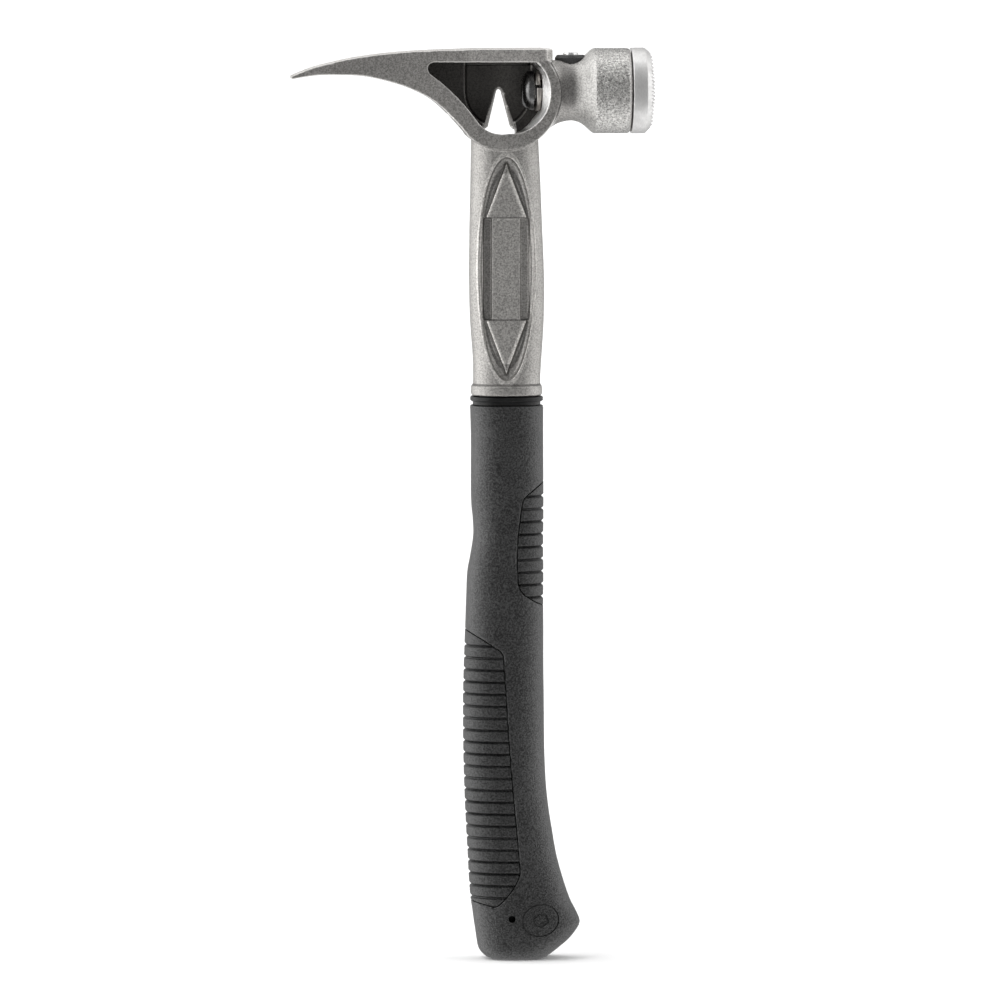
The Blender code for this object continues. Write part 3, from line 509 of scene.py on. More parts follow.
def striking_face():
    side, edge, back = FACE_SIDE, FACE_EDGE, FACE_BACK
    tip = SPIGOT_START + 0.8
    corner = FACE_ROUNDING
    rounded = [(back + corner - corner * c, FACE_RADIUS - corner + corner * s)
               for c, s in arc((0.0, 0.0), 1.0, 0, 90, 5)]
    bevelled = [(side - 0.3, FACE_RADIUS), (side + 0.15, FACE_RADIUS - 0.12), (edge[0] - 0.1, edge[1] + 0.55),
                (edge[0] + 0.15, edge[1] + 0.2), (FACE_TOP + 2, edge[1] + 0.2)]
    face = turned_about_axis("milled_face", [(SPIGOT_START, SPIGOT_RADIUS - 0.8), (tip, SPIGOT_RADIUS),
                                             (back, SPIGOT_RADIUS)] + rounded + bevelled)
    combine(face, tooth_sheet(), "INTERSECT")
    bore = SHANK_RADIUS + GAP
    cut(face, turned_about_axis("bore", ((SPIGOT_START - 5, bore), (47.5, bore), (49.0, bore * 0.4)), 64))
    cut(face, groove_cutter(FACE_BACK - 3, FACE_TOP + 5))
    smooth_shade(face, 28)
    return face


# ---------------------------------------------------------------- screw, washer, magnet

def screw():
    """Button-head screw with a hex socket and a thread of plain rings."""
    under = HEAD_UNDER
    rim = under - DOME_EDGE
    dome = [(rim - (rim - HEAD_TOP) * math.sin(a), HEAD_RADIUS * (DOME_FLAT + (1 - DOME_FLAT) * math.cos(a)))
            for a in [math.radians(90 * k / 16) for k in range(16, -1, -1)]]
    foot = [(under - 0.35, HEAD_RADIUS), (under, HEAD_RADIUS - 0.35), (under, SHANK_RADIUS - 0.1)]
    thread = []
    root = SHANK_RADIUS - THREAD_DEPTH
    x = under + 1.6
    while x + THREAD_PITCH < SHANK_END - 0.6:
        thread += [(x, SHANK_RADIUS), (x + 0.25, SHANK_RADIUS), (x + 0.8, root), (x + 1.0, root)]
        x += THREAD_PITCH
    tip = [(SHANK_END - 0.8, SHANK_RADIUS - 0.3), (SHANK_END, SHANK_RADIUS - 1.1)]
    obj = turned_about_axis("button_screw", dome + foot + thread + tip, 96)
    hexagon = arc((0.0, AXIS_Z), HEX_ACROSS / 2 / math.cos(math.radians(30)), 0, 300, 5)
    cut(obj, skin("hex", [[(x, y, z) for y, z in hexagon] for x in (HEAD_TOP - ROOT, HEAD_TOP + HEX_DEPTH)]))
    smooth_shade(obj, 32)
    return obj


def washer():
    """Split spring washer with rounded edges and sprung ends."""
    low, high = WASHER_X
    inner, outer = WASHER_RADII
    steps, edge = 120, 0.22
    loops = []
    for k in range(steps + 1):
        share = k / steps
        angle = math.radians(WASHER_SPLIT + WASHER_GAP / 2 + (360 - WASHER_GAP) * share)
        start = low + WASHER_SPRING * (1 - share)
        end = high - WASHER_SPRING * share
        corners = ((start, inner, 1, 1), (end, inner, -1, 1), (end, outer, -1, -1), (start, outer, 1, -1))
        section = []
        for n, (x, radius, dx, dr) in enumerate(corners):
            first, second = (x + dx * edge, radius), (x, radius + dr * edge)
            section += [second, first] if n % 2 == 0 else [first, second]
        loops.append([(x, radius * math.cos(angle), AXIS_Z + radius * math.sin(angle))
                      for x, radius in section])
    obj = skin("split_washer", loops)
    smooth_shade(obj, 50)
    return obj


def nail_starter():
    """The dark magnet holder and the plated magnet set in it."""
    low, high = HOLDER_Z
    edge = HOLDER_EDGE
    holder = turned_upright("starter_holder", MAGNET_X, (
        (HOLDER_RADIUS, low), (HOLDER_RADIUS, high - 1.4 * edge), (HOLDER_RADIUS - 0.15, high - 1.2 * edge),
        (HOLDER_RADIUS - edge + 0.1, high - 0.1), (HOLDER_RADIUS - edge - 0.1, high)), HOLDER_DEPTH)
    well = MAGNET_RADIUS + GAP
    cut(holder, turned_upright("well", MAGNET_X, ((well, MAGNET_Z[0] - GAP), (well, high + 3))))
    bottom, top = MAGNET_Z
    magnet = turned_upright("starter_magnet", MAGNET_X, (
        (MAGNET_RADIUS, bottom), (MAGNET_RADIUS, top - 0.4), (MAGNET_RADIUS - 0.12, top - 0.12),
        (MAGNET_RADIUS - 0.4, top)))
    cut(magnet, turned_upright("bore", MAGNET_X, ((MAGNET_BORE, bottom - 1), (MAGNET_BORE, top + 1))))
    smooth_shade(holder, 30)
    smooth_shade(magnet, 50)
    return holder, magnet


# ---------------------------------------------------------------- grip

FINE_GRIP = spline(GRIP, 6)


def grip_tower(name, heights, inset, segments=GRIP_SEGMENTS):
    return tower(name, [(z, oval(*oval_at(FINE_GRIP, z, inset), segments)) for z in heights])


def heights_between(low, high, step):
    count = max(2, round((high - low) / step))
    return [low + (high - low) * k / count for k in range(count + 1)]


def lip():
    """Rigid first moulding, which shows as a thin lip above the sleeve."""
    top = GRIP[-1][0]
    inner = SLEEVE_WALL + GAP
    rows = [(z, oval(*oval_at(FINE_GRIP, z, inner), GRIP_SEGMENTS))
            for z in heights_between(CORE_START, top + GAP, 4.0)]
    for z, inset in ((top + GAP + 0.02, LIP_INSET), (LIP_Z[0], LIP_INSET), (LIP_Z[0] + 0.1, 0.5),
                     (LIP_Z[0] + 0.5, 0.12), (LIP_Z[1] - 0.6, 0.1), (LIP_Z[1] - 0.15, 0.35), (LIP_Z[1], 0.7)):
        rows.append((z, oval(*oval_at(FINE_GRIP, top, inset), GRIP_SEGMENTS)))
    core = tower("grip_lip", rows)
    left, right, depth = TANG
    socket = oval(left - GAP, right + GAP, depth + GAP, GRIP_SEGMENTS)
    cut(core, tower("socket", [(TANG_END - GAP, socket), (LIP_Z[1] + 5, socket)]))
    cut(core, side_prism("pin_hole", circle(PIN_HOLE, PIN_HOLE_RADIUS, 40), GRIP_NEAR, -PIN_HOLE_FLOOR))
    smooth_shade(core, 35)
    return core


def edged(outline, radius, steps=5):
    """The outline with each corner rounded."""
    count = len(outline)
    points = []
    for i in range(count):
        before, corner, after = (Vector(outline[(i + k) % count]) for k in (-1, 0, 1))
        reach = min(radius, (before - corner).length * 0.45, (after - corner).length * 0.45)
        start = corner + (before - corner).normalized() * reach
        end = corner + (after - corner).normalized() * reach
        for k in range(steps + 1):
            t = k / steps
            points.append(tuple(start * (1 - t) ** 2 + corner * 2 * t * (1 - t) + end * t ** 2))
    return points


def shrunk(outline, clearance):
    """The outline moved inwards by the clearance, corner by corner."""
    count = len(outline)
    area = sum(outline[i - 1][0] * outline[i][1] - outline[i][0] * outline[i - 1][1] for i in range(count))
    turn = math.copysign(1.0, area)
    moved = []
    for i in range(count):
        normals = []
        for a, b in ((outline[i - 1], outline[i]), (outline[i], outline[(i + 1) % count])):
            length = math.dist(a, b)
            normals.append((-turn * (b[1] - a[1]) / length, turn * (b[0] - a[0]) / length))
        (ax, az), (bx, bz) = normals
        scale = clearance / (1 + ax * bx + az * bz)
        moved.append((outline[i][0] + (ax + bx) * scale, outline[i][1] + (az + bz) * scale))
    return moved


def emblem_point(angle, scale):
    tilt = math.radians(EMBLEM_TILT)
    x, z = EMBLEM_HALF[0] * scale * math.cos(angle), EMBLEM_HALF[1] * scale * math.sin(angle)
    return (EMBLEM[0] + x * math.cos(tilt) - z * math.sin(tilt),
            EMBLEM[1] + x * math.sin(tilt) + z * math.cos(tilt))


def emblem_ring(name, angles, scales):
    """A flat ring standing across the butt's near side, through the given angles."""
    outer, inner = scales
    ring = side_prism(name, [emblem_point(a, outer) for a in angles], GRIP_NEAR, -8.0)
    cut(ring, side_prism("inside", [emblem_point(a, inner) for a in angles], -GRIP_CLEAR, 0.0))
    return ring


def sleeve():
    """Soft outer moulding, with a window for each ribbed panel, a pin hole and a plain oval mark."""
    top = GRIP[-1][0]
    heights = [0.0, 0.25, 0.6] + heights_between(1.1, top - 0.4, 1.6)
    rows = [(z, oval(*oval_at(FINE_GRIP, z), GRIP_SEGMENTS)) for z in heights]
    rows.append((top, oval(*oval_at(FINE_GRIP, top, 0.4), GRIP_SEGMENTS)))
    body = tower("rubber_sleeve", rows)
    inside = [(z, oval(*oval_at(FINE_GRIP, z, SLEEVE_WALL), INNER_SEGMENTS))
              for z in heights_between(CORE_START - GAP, top, 4.0)]
    inside.append((top + 5, oval(*oval_at(FINE_GRIP, top, SLEEVE_WALL), INNER_SEGMENTS)))
    cut(body, tower("inside", inside))
    for outline in (REAR_PANEL, FRONT_PANEL):
        cut(body, side_prism("window", edged(outline, PANEL_CORNER), -GRIP_CLEAR, GRIP_CLEAR))
    soften(body, SLEEVE_VOXEL, SLEEVE_SMOOTHING)
    cut(body, side_prism("pin_hole", circle(PIN_HOLE, PIN_HOLE_RADIUS, 40), GRIP_NEAR, -PIN_HOLE_FLOOR))
    cut(body, grip_mark())
    smooth_shade(body, 40)
    return body


def rib_depth(z, ribs):
    """How deep the surface lies at a height across a row of grooves."""
    first, pitch, count = ribs
    k = round((z - first) / pitch)
    if not 0 <= k < count:
        return 0.0
    away = abs(z - first - k * pitch) / RIB_HALF
    return RIB_DEPTH * max(0.0, 1 - away / RIB_SPREAD) ** RIB_POWER


def ribs(name, outline, ribs_row):
    """A saddle of the grip's skin with soft grooves across it."""
    first, pitch, count = ribs_row
    low, high = first - 1.3 * pitch, first + (count + 0.9) * pitch
    rows = [(z, oval(*oval_at(FINE_GRIP, z, rib_depth(z, ribs_row)), GRIP_SEGMENTS))
            for z in heights_between(low, high, 0.24)]
    panel = tower(name, rows)
    edge = edged(shrunk(outline, PANEL_CLEARANCE), PANEL_CORNER)
    combine(panel, side_prism("outline", edge, -GRIP_CLEAR, GRIP_CLEAR), "INTERSECT")
    cut(panel, grip_tower("back", heights_between(low - ROOT, high + ROOT, 4.0), SLEEVE_WALL, INNER_SEGMENTS))
    smooth_shade(panel, 40)
    return panel


def grip_mark():
    """Cutter for a plain oval line round a small hexagon, at an even depth below the butt's surface."""
    mark = emblem_ring("mark", [2 * math.pi * k / 96 for k in range(96)], EMBLEM_OVAL)
    join(mark, emblem_ring("nut", [math.radians(60 * k + 30) for k in range(6)], EMBLEM_NUT))
    cut(mark, grip_tower("inside", heights_between(4.0, 31.0, 0.5), EMBLEM_DEPTH))
    return mark


# ---------------------------------------------------------------- materials

def add(tree, kind, inputs=None, **settings):
    """A node with its settings and inputs; an input given as a socket is linked."""
    made = tree.nodes.new(kind)
    for key, value in settings.items():
        setattr(made, key, value)
    for key, value in (inputs or {}).items():
        if isinstance(value, bpy.types.NodeSocket):
            tree.links.new(value, made.inputs[key])
        else:
            made.inputs[key].default_value = value
    return made


def maths(tree, operation, first, second=0.0):
    return add(tree, "ShaderNodeMath", {0: first, 1: second}, operation=operation).outputs[0]


def ramp_between(tree, value, low, high, start=0.0, end=1.0):
    """Eases the value from start to end as it goes from low to high."""
    return add(tree, "ShaderNodeMapRange", {"Value": value, "From Min": low, "From Max": high, "To Min": start,
                                            "To Max": end}, interpolation_type="SMOOTHSTEP").outputs[0]


def mix_colour(tree, factor, first, second):
    made = add(tree, "ShaderNodeMix", data_type="RGBA", blend_type="MIX")
    for index, value in ((0, factor), (6, first), (7, second)):
        if isinstance(value, bpy.types.NodeSocket):
            tree.links.new(value, made.inputs[index])
        else:
            made.inputs[index].default_value = value if index == 0 else (*value, 1.0)
    return made.outputs[2]


def grain(tree, vector, size, detail=3.0, roughness=0.55):
    """Noise from 0 to 1 whose blobs are about the size given, in millimetres."""
    return add(tree, "ShaderNodeTexNoise", {"Vector": vector, "Scale": 1 / (size * MM), "Detail": detail,
                                            "Roughness": roughness}).outputs["Fac"]


def start_material(name, roughness, metallic, specular=0.5):
    material = bpy.data.materials.new(name)
    material.use_nodes = True
    tree = material.node_tree
    shader = tree.nodes["Principled BSDF"]
    shader.inputs["Roughness"].default_value = roughness
    shader.inputs["Metallic"].default_value = metallic
    shader.inputs["Specular IOR Level"].default_value = specular
    return material, tree, shader, add(tree, "ShaderNodeTexCoord").outputs["Object"]


def bump(tree, shader, height, distance):
    """Adds one layer of bump, in millimetres, over any layer that is already there."""
    normal = shader.inputs["Normal"]
    made = add(tree, "ShaderNodeBump", {"Height": height, "Distance": distance * MM, "Strength": 1.0})
    if normal.is_linked:
        tree.links.new(normal.links[0].from_socket, made.inputs["Normal"])
    tree.links.new(made.outputs[0], normal)


def axes(tree, vector):
    return add(tree, "ShaderNodeSeparateXYZ", {0: vector}).outputs


def product(tree, *values):
    """The values multiplied together."""
    result = values[0]
    for value in values[1:]:
        result = maths(tree, "MULTIPLY", result, value)
    return result


def past(tree, value, place):
    """How far the value is past a place given in millimetres, in metres."""
    return maths(tree, "SUBTRACT", value, place * MM)


def hypotenuse(tree, first, second):
    return maths(tree, "SQRT", maths(tree, "ADD", product(tree, first, first), product(tree, second, second)))


def fade(tree, value, low, high, start=0.0, end=1.0):
    """ramp_between, with low and high in millimetres."""
    return ramp_between(tree, value, low * MM, high * MM, start, end)


def between(tree, value, low, high, edge):
    """1 where the value lies between low and high, in millimetres, easing off over the edge's width."""
    return product(tree, fade(tree, value, low - edge, low), fade(tree, value, high + edge, high))


def neck_masks(tree, x, y, z):
    """Masks on the neck's recess: painted shade in each channel and crease, painted highlights on its edges, and
    all of it.
    """
    off_centre = maths(tree, "ABSOLUTE", past(tree, x, LENS_X))
    off_middle = maths(tree, "ABSOLUTE", past(tree, z, LENS_Z))
    depth = maths(tree, "ABSOLUTE", y)
    # Painted shade in each channel of the well, deeper on the left.
    channel_shade = product(tree, between(tree, off_centre, PANEL_HALF, WELL_HALF, 0.4),
                       between(tree, z, WELL_Z[0], WELL_Z[1], 0.3),
                       between(tree, depth, 0.0, WELL_FLOOR + 0.4, 0.5), fade(tree, x, -3.0, 3.0, 1.0, 0.45))
    # distance outside a land's slanted edge
    base = WELL_Z[1] - FACET_OVERRUN - LENS_Z
    rise = LENS_HALF[1] - FACET_TIP - base
    length = math.hypot(rise, FACET_HALF)
    along_x = product(tree, past(tree, off_centre, FACET_HALF), rise / length)
    along_z = product(tree, past(tree, off_middle, base), FACET_HALF / length)
    past_edge = maths(tree, "ADD", along_x, along_z)
    # distance outside the recess's oval rim
    wide = maths(tree, "DIVIDE", off_centre, LENS_HALF[0] * MM)
    tall = maths(tree, "DIVIDE", off_middle, LENS_HALF[1] * MM)
    share = hypotenuse(tree, wide, tall)
    past_rim = product(tree, maths(tree, "SUBTRACT", share, 1.0), LENS_HALF[0] * MM)
    on_face = product(tree, fade(tree, depth, 6.0, 7.0), fade(tree, off_middle, base + 0.8, base + 1.2))
    inside = fade(tree, past_rim, -0.2, -0.8)
    land_highlight = product(tree, between(tree, past_edge, -0.75, -0.25, 0.3), on_face, inside)
    land_shade = product(tree, between(tree, past_edge, 0.2, 0.8, 0.35), on_face, inside)
    rim_highlight = product(tree, between(tree, past_rim, 0.15, 0.55, 0.3), fade(tree, depth, 6.0, 7.0),
                       between(tree, z, LENS_Z - LENS_HALF[1] - 2, LENS_Z + LENS_HALF[1] + 2, 0.2))
    rim_shade = product(tree, between(tree, past_rim, -1.6, -1.2, 0.3), fade(tree, depth, 6.0, 7.0))
    half_well = (WELL_Z[1] - WELL_Z[0]) / 2
    well_end_shade = product(tree, between(tree, off_middle, half_well - 0.2, half_well + 0.3, 0.25),
                       between(tree, off_centre, -1.0, WELL_HALF - 0.6, 0.3),
                       between(tree, depth, 5.5, 9.4, 0.3))
    # Painted shade at the lands' feet, just inside the rim and at each end of the well.
    crease_shade = maths(tree, "MAXIMUM", maths(tree, "MAXIMUM", land_shade, rim_shade), well_end_shade)
    # Painted highlights along the lands' slanted edges and just outside the rim.
    edges = maths(tree, "MAXIMUM", land_highlight, product(tree, rim_highlight, 0.6))
    recess = product(tree, fade(tree, past_rim, 0.0, -1.0), between(tree, depth, 0.0, 9.4, 0.6),
                     between(tree, z, LENS_Z - LENS_HALF[1], LENS_Z + LENS_HALF[1], 0.2))
    return {"channel_shade": channel_shade, "crease_shade": crease_shade, "edges": edges, "recess": recess}


def head_masks(tree, x, y, z):
    """Masks on the head: the pocket's plate, its wall for painted light, the step's painted highlight and shade,
    and painted shade at the ring's foot.
    """
    plate = product(tree, between(tree, y, 8.8, 10.35, 0.3), between(tree, x, -34.0, 16.0, 1.5),
                    between(tree, z, 346.5, 380.2, 0.4))
    # Painted light on the pocket's right wall, kept pale and even.
    wall = product(tree, between(tree, y, -12.9, 8.0, 0.3), between(tree, x, 9.5, 18.2, 3.0),
                   between(tree, z, 352.5, 376.0, 2.5))
    left, right = PLATE_STEP_X
    low, turn = PLATE_STEP_Z
    half = (right - left) / 2
    across = maths(tree, "DIVIDE", past(tree, x, left + half), half * MM)
    down = maths(tree, "DIVIDE", maths(tree, "MINIMUM", past(tree, z, turn), 0.0), (turn - low) * MM)
    share = hypotenuse(tree, across, down)
    past_step = product(tree, maths(tree, "SUBTRACT", share, 1.0), half * MM)
    # Painted highlight along the step's edge in the plate, and painted shade at its foot.
    step_highlight = product(tree, plate, between(tree, past_step, 0.5, 0.9, 0.3))
    step_shade = product(tree, plate, between(tree, past_step, -0.3, 0.2, 0.3))
    # Painted shade in the crease at the ring's outer foot.
    from_ring = hypotenuse(tree, past(tree, x, RING_X), past(tree, z, RING_Z))
    ring_foot_shade = product(tree, between(tree, from_ring, RING_RADIUS + 0.1, RING_RADIUS + 0.5, 0.3),
                        between(tree, y, -12.9, 12.9, 0.1), fade(tree, x, 12.0, 15.0), fade(tree, z, 381.0, 379.0))
    return {"plate": plate, "wall": wall, "step_highlight": step_highlight, "step_shade": step_shade,
            "ring_foot_shade": ring_foot_shade}


def shade_masks(tree, x, y, z, plate):
    """Masks of painted light and shade, where the casting is made lighter or darker than its shape makes it."""
    normal = axes(tree, add(tree, "ShaderNodeNewGeometry").outputs["Normal"])
    return {
        # Painted light on the head's upward-facing tops.
        "top_light": product(tree, ramp_between(tree, normal[2], 0.75, 0.95),
                         fade(tree, z, 372.0, 374.0), fade(tree, x, 21.0, 20.0)),
        # Painted light on the block's top front corner by the notch.
        "corner": product(tree, between(tree, x, BLOCK_FRONT - 3.2, BLOCK_FRONT + 0.3, 0.5),
                          fade(tree, z, 379.8, 380.6)),
        # Painted highlight on the near cheek's band above the pocket.
        "lintel_highlight": product(tree, between(tree, x, -18.0, 12.0, 14.0), fade(tree, z, 378.5, 381.0),
                          fade(tree, y, -12.5, -13.0)),
        # Painted light on the plate's right part and painted shade on its lower part.
        "plate_right_light": product(tree, plate, fade(tree, x, -9.0, 3.0)),
        "plate_low_shade": product(tree, plate, fade(tree, z, 370.0, 354.0)),
        # Painted shade line along the collar's top.
        "collar_shade_line": between(tree, z, COLLAR_Z[1] - 0.1, COLLAR_Z[1] + 0.4, 0.4),
        # Painted dark reflection on the near side of the poll's waist.
        "poll_dark_reflection": product(tree, between(tree, x, 24.0, 27.0, 3.5), between(tree, z, 364.0, 376.0, 6.0),
                          fade(tree, y, -6.0, -9.0)),
    }


def casting_colour(tree, x, z, masks):
    """The casting's colour from place to place, with painted light on the pocket's wall and painted shade on its
    plate, before its tone.
    """
    poll = fade(tree, x, 24.0, 36.0)
    neck = fade(tree, z, 352.0, 340.0)
    colour = mix_colour(tree, poll, HEAD_COLOUR, BARREL_COLOUR)
    colour = mix_colour(tree, neck, colour, NECK_COLOUR)
    colour = mix_colour(tree, masks["wall"], colour, WALL_LIGHT_COLOUR)
    return mix_colour(tree, masks["plate"], colour, PLATE_SHADE_COLOUR)


def casting_tone(tree, coordinates, speckle, pitting, masks):
    """Brightness of the casting: its grain, evened on the pocket's painted-light wall, times the painted light and
    shade level of each mask.
    """
    broad = grain(tree, coordinates, 12.0)
    tone = product(tree, ramp_between(tree, broad, 0.3, 0.7, 0.96, 1.04),
                   ramp_between(tree, speckle, 0.34, 0.66, 0.66, 1.34))
    tone = maths(tree, "MAXIMUM", maths(tree, "ADD", tone, pitting), 0.12)
    # Painted light: the pocket's wall is kept pale and even.
    even = product(tree, masks["wall"], 0.75)
    tone = maths(tree, "ADD", product(tree, tone, maths(tree, "SUBTRACT", 1.0, even)), even)
    for name, level in SHADES.items():
        tone = product(tree, tone, ramp_between(tree, masks[name], 0.0, 1.0, 1.0, level))
    return tone


def worn_edges_and_highlights(tree, x, z):
    """Sharp outer edges of the head and of the barrel's rim, rubbed bright, with a painted highlight where they
    catch the light.
    """
    sharp = ramp_between(tree, add(tree, "ShaderNodeNewGeometry").outputs["Pointiness"], 0.515, 0.56, 0.0, 0.85)
    head = product(tree, fade(tree, z, 345.0, 350.0), fade(tree, x, 20.5, 19.0))
    rim = fade(tree, x, 50.0, 51.0)
    return product(tree, sharp, maths(tree, "MAXIMUM", head, rim))


def casting_material():
    """Blasted titanium: fine on the neck, grainier on the head, rough as cast on the barrel, painted dark inside
    the pocket as shade, with painted light and shade in places.
    """
    material, tree, shader, coordinates = start_material("cast_titanium", 0.5, 1.0)
    x, y, z = axes(tree, coordinates)
    barrel = product(tree, fade(tree, x, 36.2, 37.2), fade(tree, x, 51.6, 50.6))
    speckle = grain(tree, coordinates, 0.75, 2.0, 0.9)
    coarse = grain(tree, coordinates, 0.95, 2.0, 0.85)
    masks = {**neck_masks(tree, x, y, z), **head_masks(tree, x, y, z)}
    masks.update(shade_masks(tree, x, y, z, masks["plate"]))
    pitting = product(tree, barrel, ramp_between(tree, coarse, 0.36, 0.64, -0.36, 0.26))
    tone = casting_tone(tree, coordinates, speckle, pitting, masks)
    tinted = add(tree, "ShaderNodeVectorMath", {0: casting_colour(tree, x, z, masks), "Scale": tone},
                 operation="SCALE").outputs[0]
    tree.links.new(mix_colour(tree, worn_edges_and_highlights(tree, x, z), tinted, WORN_EDGE_HIGHLIGHT_COLOUR), shader.inputs["Base Color"])
    dull = ramp_between(tree, speckle, 0.3, 0.7, 0.44, 0.6)
    dull = maths(tree, "SUBTRACT", dull, product(tree, barrel, 0.2))
    tree.links.new(dull, shader.inputs["Roughness"])
    relief = product(tree, coarse, ramp_between(tree, barrel, 0.0, 1.0, 0.2, 1.0))
    bump(tree, shader, relief, 0.4)
    bump(tree, shader, speckle, 0.14)
    return material


def turned_coordinates(tree, coordinates, stretch):
    """Coordinates for lathe marks: fine along the X axis, long round it."""
    x, y, z = axes(tree, coordinates)
    height = past(tree, z, AXIS_Z)
    radius = hypotenuse(tree, y, height)
    angle = product(tree, maths(tree, "ARCTAN2", y, height), stretch * MM)
    return add(tree, "ShaderNodeCombineXYZ", {0: x, 1: radius, 2: angle}).outputs[0]


def face_material():
    """Turned steel with lathe marks on its side, bright worn tooth tips and painted shade down between the teeth.
    """
    material, tree, shader, coordinates = start_material("face_steel", 0.34, 1.0)
    lathe = grain(tree, turned_coordinates(tree, coordinates, 1.5), 0.16, 2.0)
    cloud = grain(tree, coordinates, 3.5)
    sharp = add(tree, "ShaderNodeNewGeometry").outputs["Pointiness"]
    toothed = fade(tree, axes(tree, coordinates)[0], FACE_SIDE - 0.6, FACE_SIDE)
    tips = product(tree, toothed, ramp_between(tree, sharp, 0.53, 0.62, 0.0, 0.5))
    # Painted shade down between the teeth.
    root_shade = product(tree, toothed, ramp_between(tree, sharp, 0.485, 0.42, 0.0, 0.9))
    colour = mix_colour(tree, ramp_between(tree, lathe, 0.3, 0.7), *FACE_COLOURS)
    colour = mix_colour(tree, ramp_between(tree, cloud, 0.35, 0.75, 0.0, 0.5), colour, FACE_CLOUD)
    colour = mix_colour(tree, tips, colour, TOOTH_TIP)
    colour = mix_colour(tree, root_shade, colour, TOOTH_ROOT_SHADE)
    tree.links.new(colour, shader.inputs["Base Color"])
    tree.links.new(ramp_between(tree, cloud, 0.3, 0.7, 0.46, 0.6), shader.inputs["Roughness"])
    bump(tree, shader, lathe, 0.04)
    return material


def plain_metal(name, colours, roughness, mottle, relief):
    """Steel with lathe or rolling marks and a mottled finish."""
    material, tree, shader, coordinates = start_material(name, roughness[0], 1.0)
    cloud = grain(tree, coordinates, mottle)
    marks = grain(tree, turned_coordinates(tree, coordinates, 2.0), 0.2, 2.0)
    colour = mix_colour(tree, ramp_between(tree, cloud, 0.3, 0.7), *colours)
    tree.links.new(colour, shader.inputs["Base Color"])
    tree.links.new(ramp_between(tree, marks, 0.3, 0.7, *roughness), shader.inputs["Roughness"])
    bump(tree, shader, marks, relief)
    return material


def moulded(name, colours, roughness, pebble, relief, specular=0.45):
    """Rubber or plastic with a fine pebbled skin, whose high spots are lighter and shinier."""
    material, tree, shader, coordinates = start_material(name, roughness[0], 0.0, specular)
    fine = grain(tree, coordinates, pebble, 2.0, 0.8)
    cloud = grain(tree, coordinates, 14.0, 4.0)
    tone = maths(tree, "ADD", product(tree, cloud, 0.15), product(tree, fine, 0.85))
    colour = mix_colour(tree, ramp_between(tree, tone, 0.4, 0.62), *colours)
    tree.links.new(colour, shader.inputs["Base Color"])
    tree.links.new(ramp_between(tree, tone, 0.4, 0.62, *roughness), shader.inputs["Roughness"])
    tree.links.new(ramp_between(tree, tone, 0.38, 0.62, specular * 0.62, specular * 1.3),
                   shader.inputs["Specular IOR Level"])
    bump(tree, shader, fine, relief)
    return material


# ---------------------------------------------------------------- studio

def surroundings(front, left, right, above, below, behind):
    """A pale room, dim in front of the hammer and bright to its sides, as between softboxes."""
    world = bpy.data.worlds.new("room")
    bpy.context.scene.world = world
    world.use_nodes = True
    tree = world.node_tree
    x, y, z = axes(tree, add(tree, "ShaderNodeTexCoord").outputs["Generated"])
    level = ramp_between(tree, y, -0.25, 0.35, front, behind)
    level = product(tree, level, ramp_between(tree, z, -0.1, 0.75, 1.0, 0.5))
    across = hypotenuse(tree, x, y)
    sideways = maths(tree, "DIVIDE", x, maths(tree, "MAXIMUM", across, 0.01))
    overhead = maths(tree, "ADD", z, product(tree, y, 0.24))
    underfoot = maths(tree, "ADD", z, product(tree, y, 0.1))
    for along, start, end, brightness in ((sideways, -0.55, -0.85, left), (sideways, 0.65, 0.92, right),
                                          (overhead, 0.93, 1.01, above), (underfoot, -0.72, -0.9, below)):
        share = ramp_between(tree, along, start, end)
        level = maths(tree, "ADD", level, product(tree, share,
                                                maths(tree, "SUBTRACT", brightness, level)))
    tree.links.new(level, tree.nodes["Background"].inputs["Strength"])
    tree.nodes["Background"].inputs["Color"].default_value = (1.0, 1.0, 1.0, 1.0)


def floor():
    """A wide pale floor that runs out to the horizon."""
    bm = bmesh.new()
    bmesh.ops.create_circle(bm, cap_ends=True, segments=96, radius=80.0)
    plane = to_object("floor", bm)
    material, _, shader, _ = start_material("pale_floor", 0.9, 0.0, 0.2)
    shader.inputs["Base Color"].default_value = (*FLOOR_COLOUR, 1.0)
    plane.data.materials.append(material)
    plane.visible_glossy = False
    plane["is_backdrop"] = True


def camera(azimuth, elevation, target, lens, width):
    """A long lens looking at the target, framing the given width across the picture."""
    data = bpy.data.cameras.new("camera")
    data.lens = lens
    data.sensor_width = 36.0
    data.clip_end = 200.0
    obj = bpy.data.objects.new("camera", data)
    bpy.context.scene.collection.objects.link(obj)
    turn, lift = math.radians(azimuth), math.radians(elevation)
    away = Vector((math.sin(turn) * math.cos(lift), -math.cos(turn) * math.cos(lift), math.sin(lift)))
    obj.location = Vector(target) * MM + away * (width * MM * lens / 36.0)
    obj.rotation_euler = away.to_track_quat("Z", "Y").to_euler()
    bpy.context.scene.camera = obj


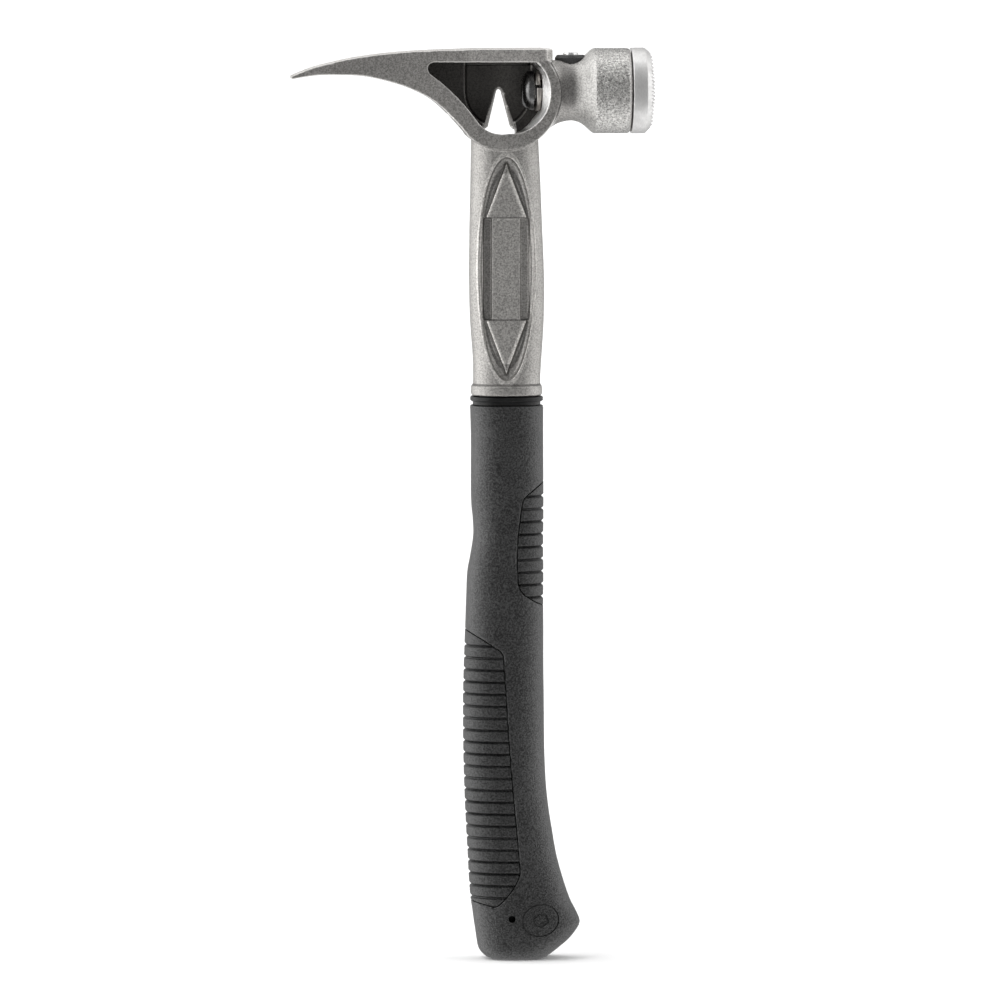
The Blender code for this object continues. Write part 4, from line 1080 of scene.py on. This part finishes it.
def studio():
    surroundings(front=0.49, left=2.6, right=1.85, above=2.4, below=1.75, behind=0.7)
    floor()
    camera(azimuth=-3.75, elevation=4.5, target=(-2.53, 0.0, 194.8), lens=300.0, width=422.4)
    bpy.context.scene.view_settings.view_transform = "Standard"


# ---------------------------------------------------------------- assembly

def place(obj, material, body, node, slot):
    obj.data.materials.clear()
    obj.data.materials.append(material)
    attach(obj, body)
    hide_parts(node)


def main():
    cad_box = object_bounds()
    holder, magnet = nail_starter()
    holder_black = moulded("holder_black", HOLDER_COLOURS, (0.4, 0.55), pebble=0.3, relief=0.02)
    lip_plastic = moulded("lip_plastic", LIP_COLOURS, (0.35, 0.45), pebble=0.4, relief=0.02, specular=0.3)
    rubber = moulded("grip_rubber", RUBBER_COLOURS, (0.28, 0.43), pebble=0.68, relief=0.3, specular=0.67)
    rib_rubber = moulded("rib_rubber", RIB_COLOURS, (0.37, 0.53), pebble=0.68, relief=0.25, specular=0.6)
    screw_steel = plain_metal("screw_steel", SCREW_COLOURS, (0.2, 0.3), mottle=1.2, relief=0.006)
    washer_steel = plain_metal("washer_steel", WASHER_COLOURS, (0.32, 0.45), mottle=1.5, relief=0.015)
    plating = plain_metal("magnet_plating", MAGNET_COLOURS, (0.15, 0.3), mottle=2.0, relief=0.004)
    place(titanium_casting(), casting_material(), "hammer", "hammer_frame", "cast_titanium")
    place(striking_face(), face_material(), "face", "steel_face", "face_steel")
    place(screw(), screw_steel, "screw", "face_screw", "screw_steel")
    place(washer(), washer_steel, "washer", "lock_washer", "washer_steel")
    place(holder, holder_black, "hammer", "magnet_holder", "holder_black")
    place(magnet, plating, "hammer", "nail_magnet", "magnet_plating")
    place(lip(), lip_plastic, "hammer", "grip_core", "grip_core_plastic")
    place(sleeve(), rubber, "hammer", "grip_sleeve", "grip_rubber")
    place(ribs("rear_ribs", REAR_PANEL, REAR_RIBS), rib_rubber, "hammer", "rear_rib_panel", "rib_rubber")
    place(ribs("front_ribs", FRONT_PANEL, FRONT_RIBS), rib_rubber, "hammer", "front_rib_panel", "rib_rubber")
    studio()
    boxes = {"cad": cad_box, "visual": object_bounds()}
    {name: [[float(c) for c in corner] for corner in box] for name, box in boxes.items()}


main()
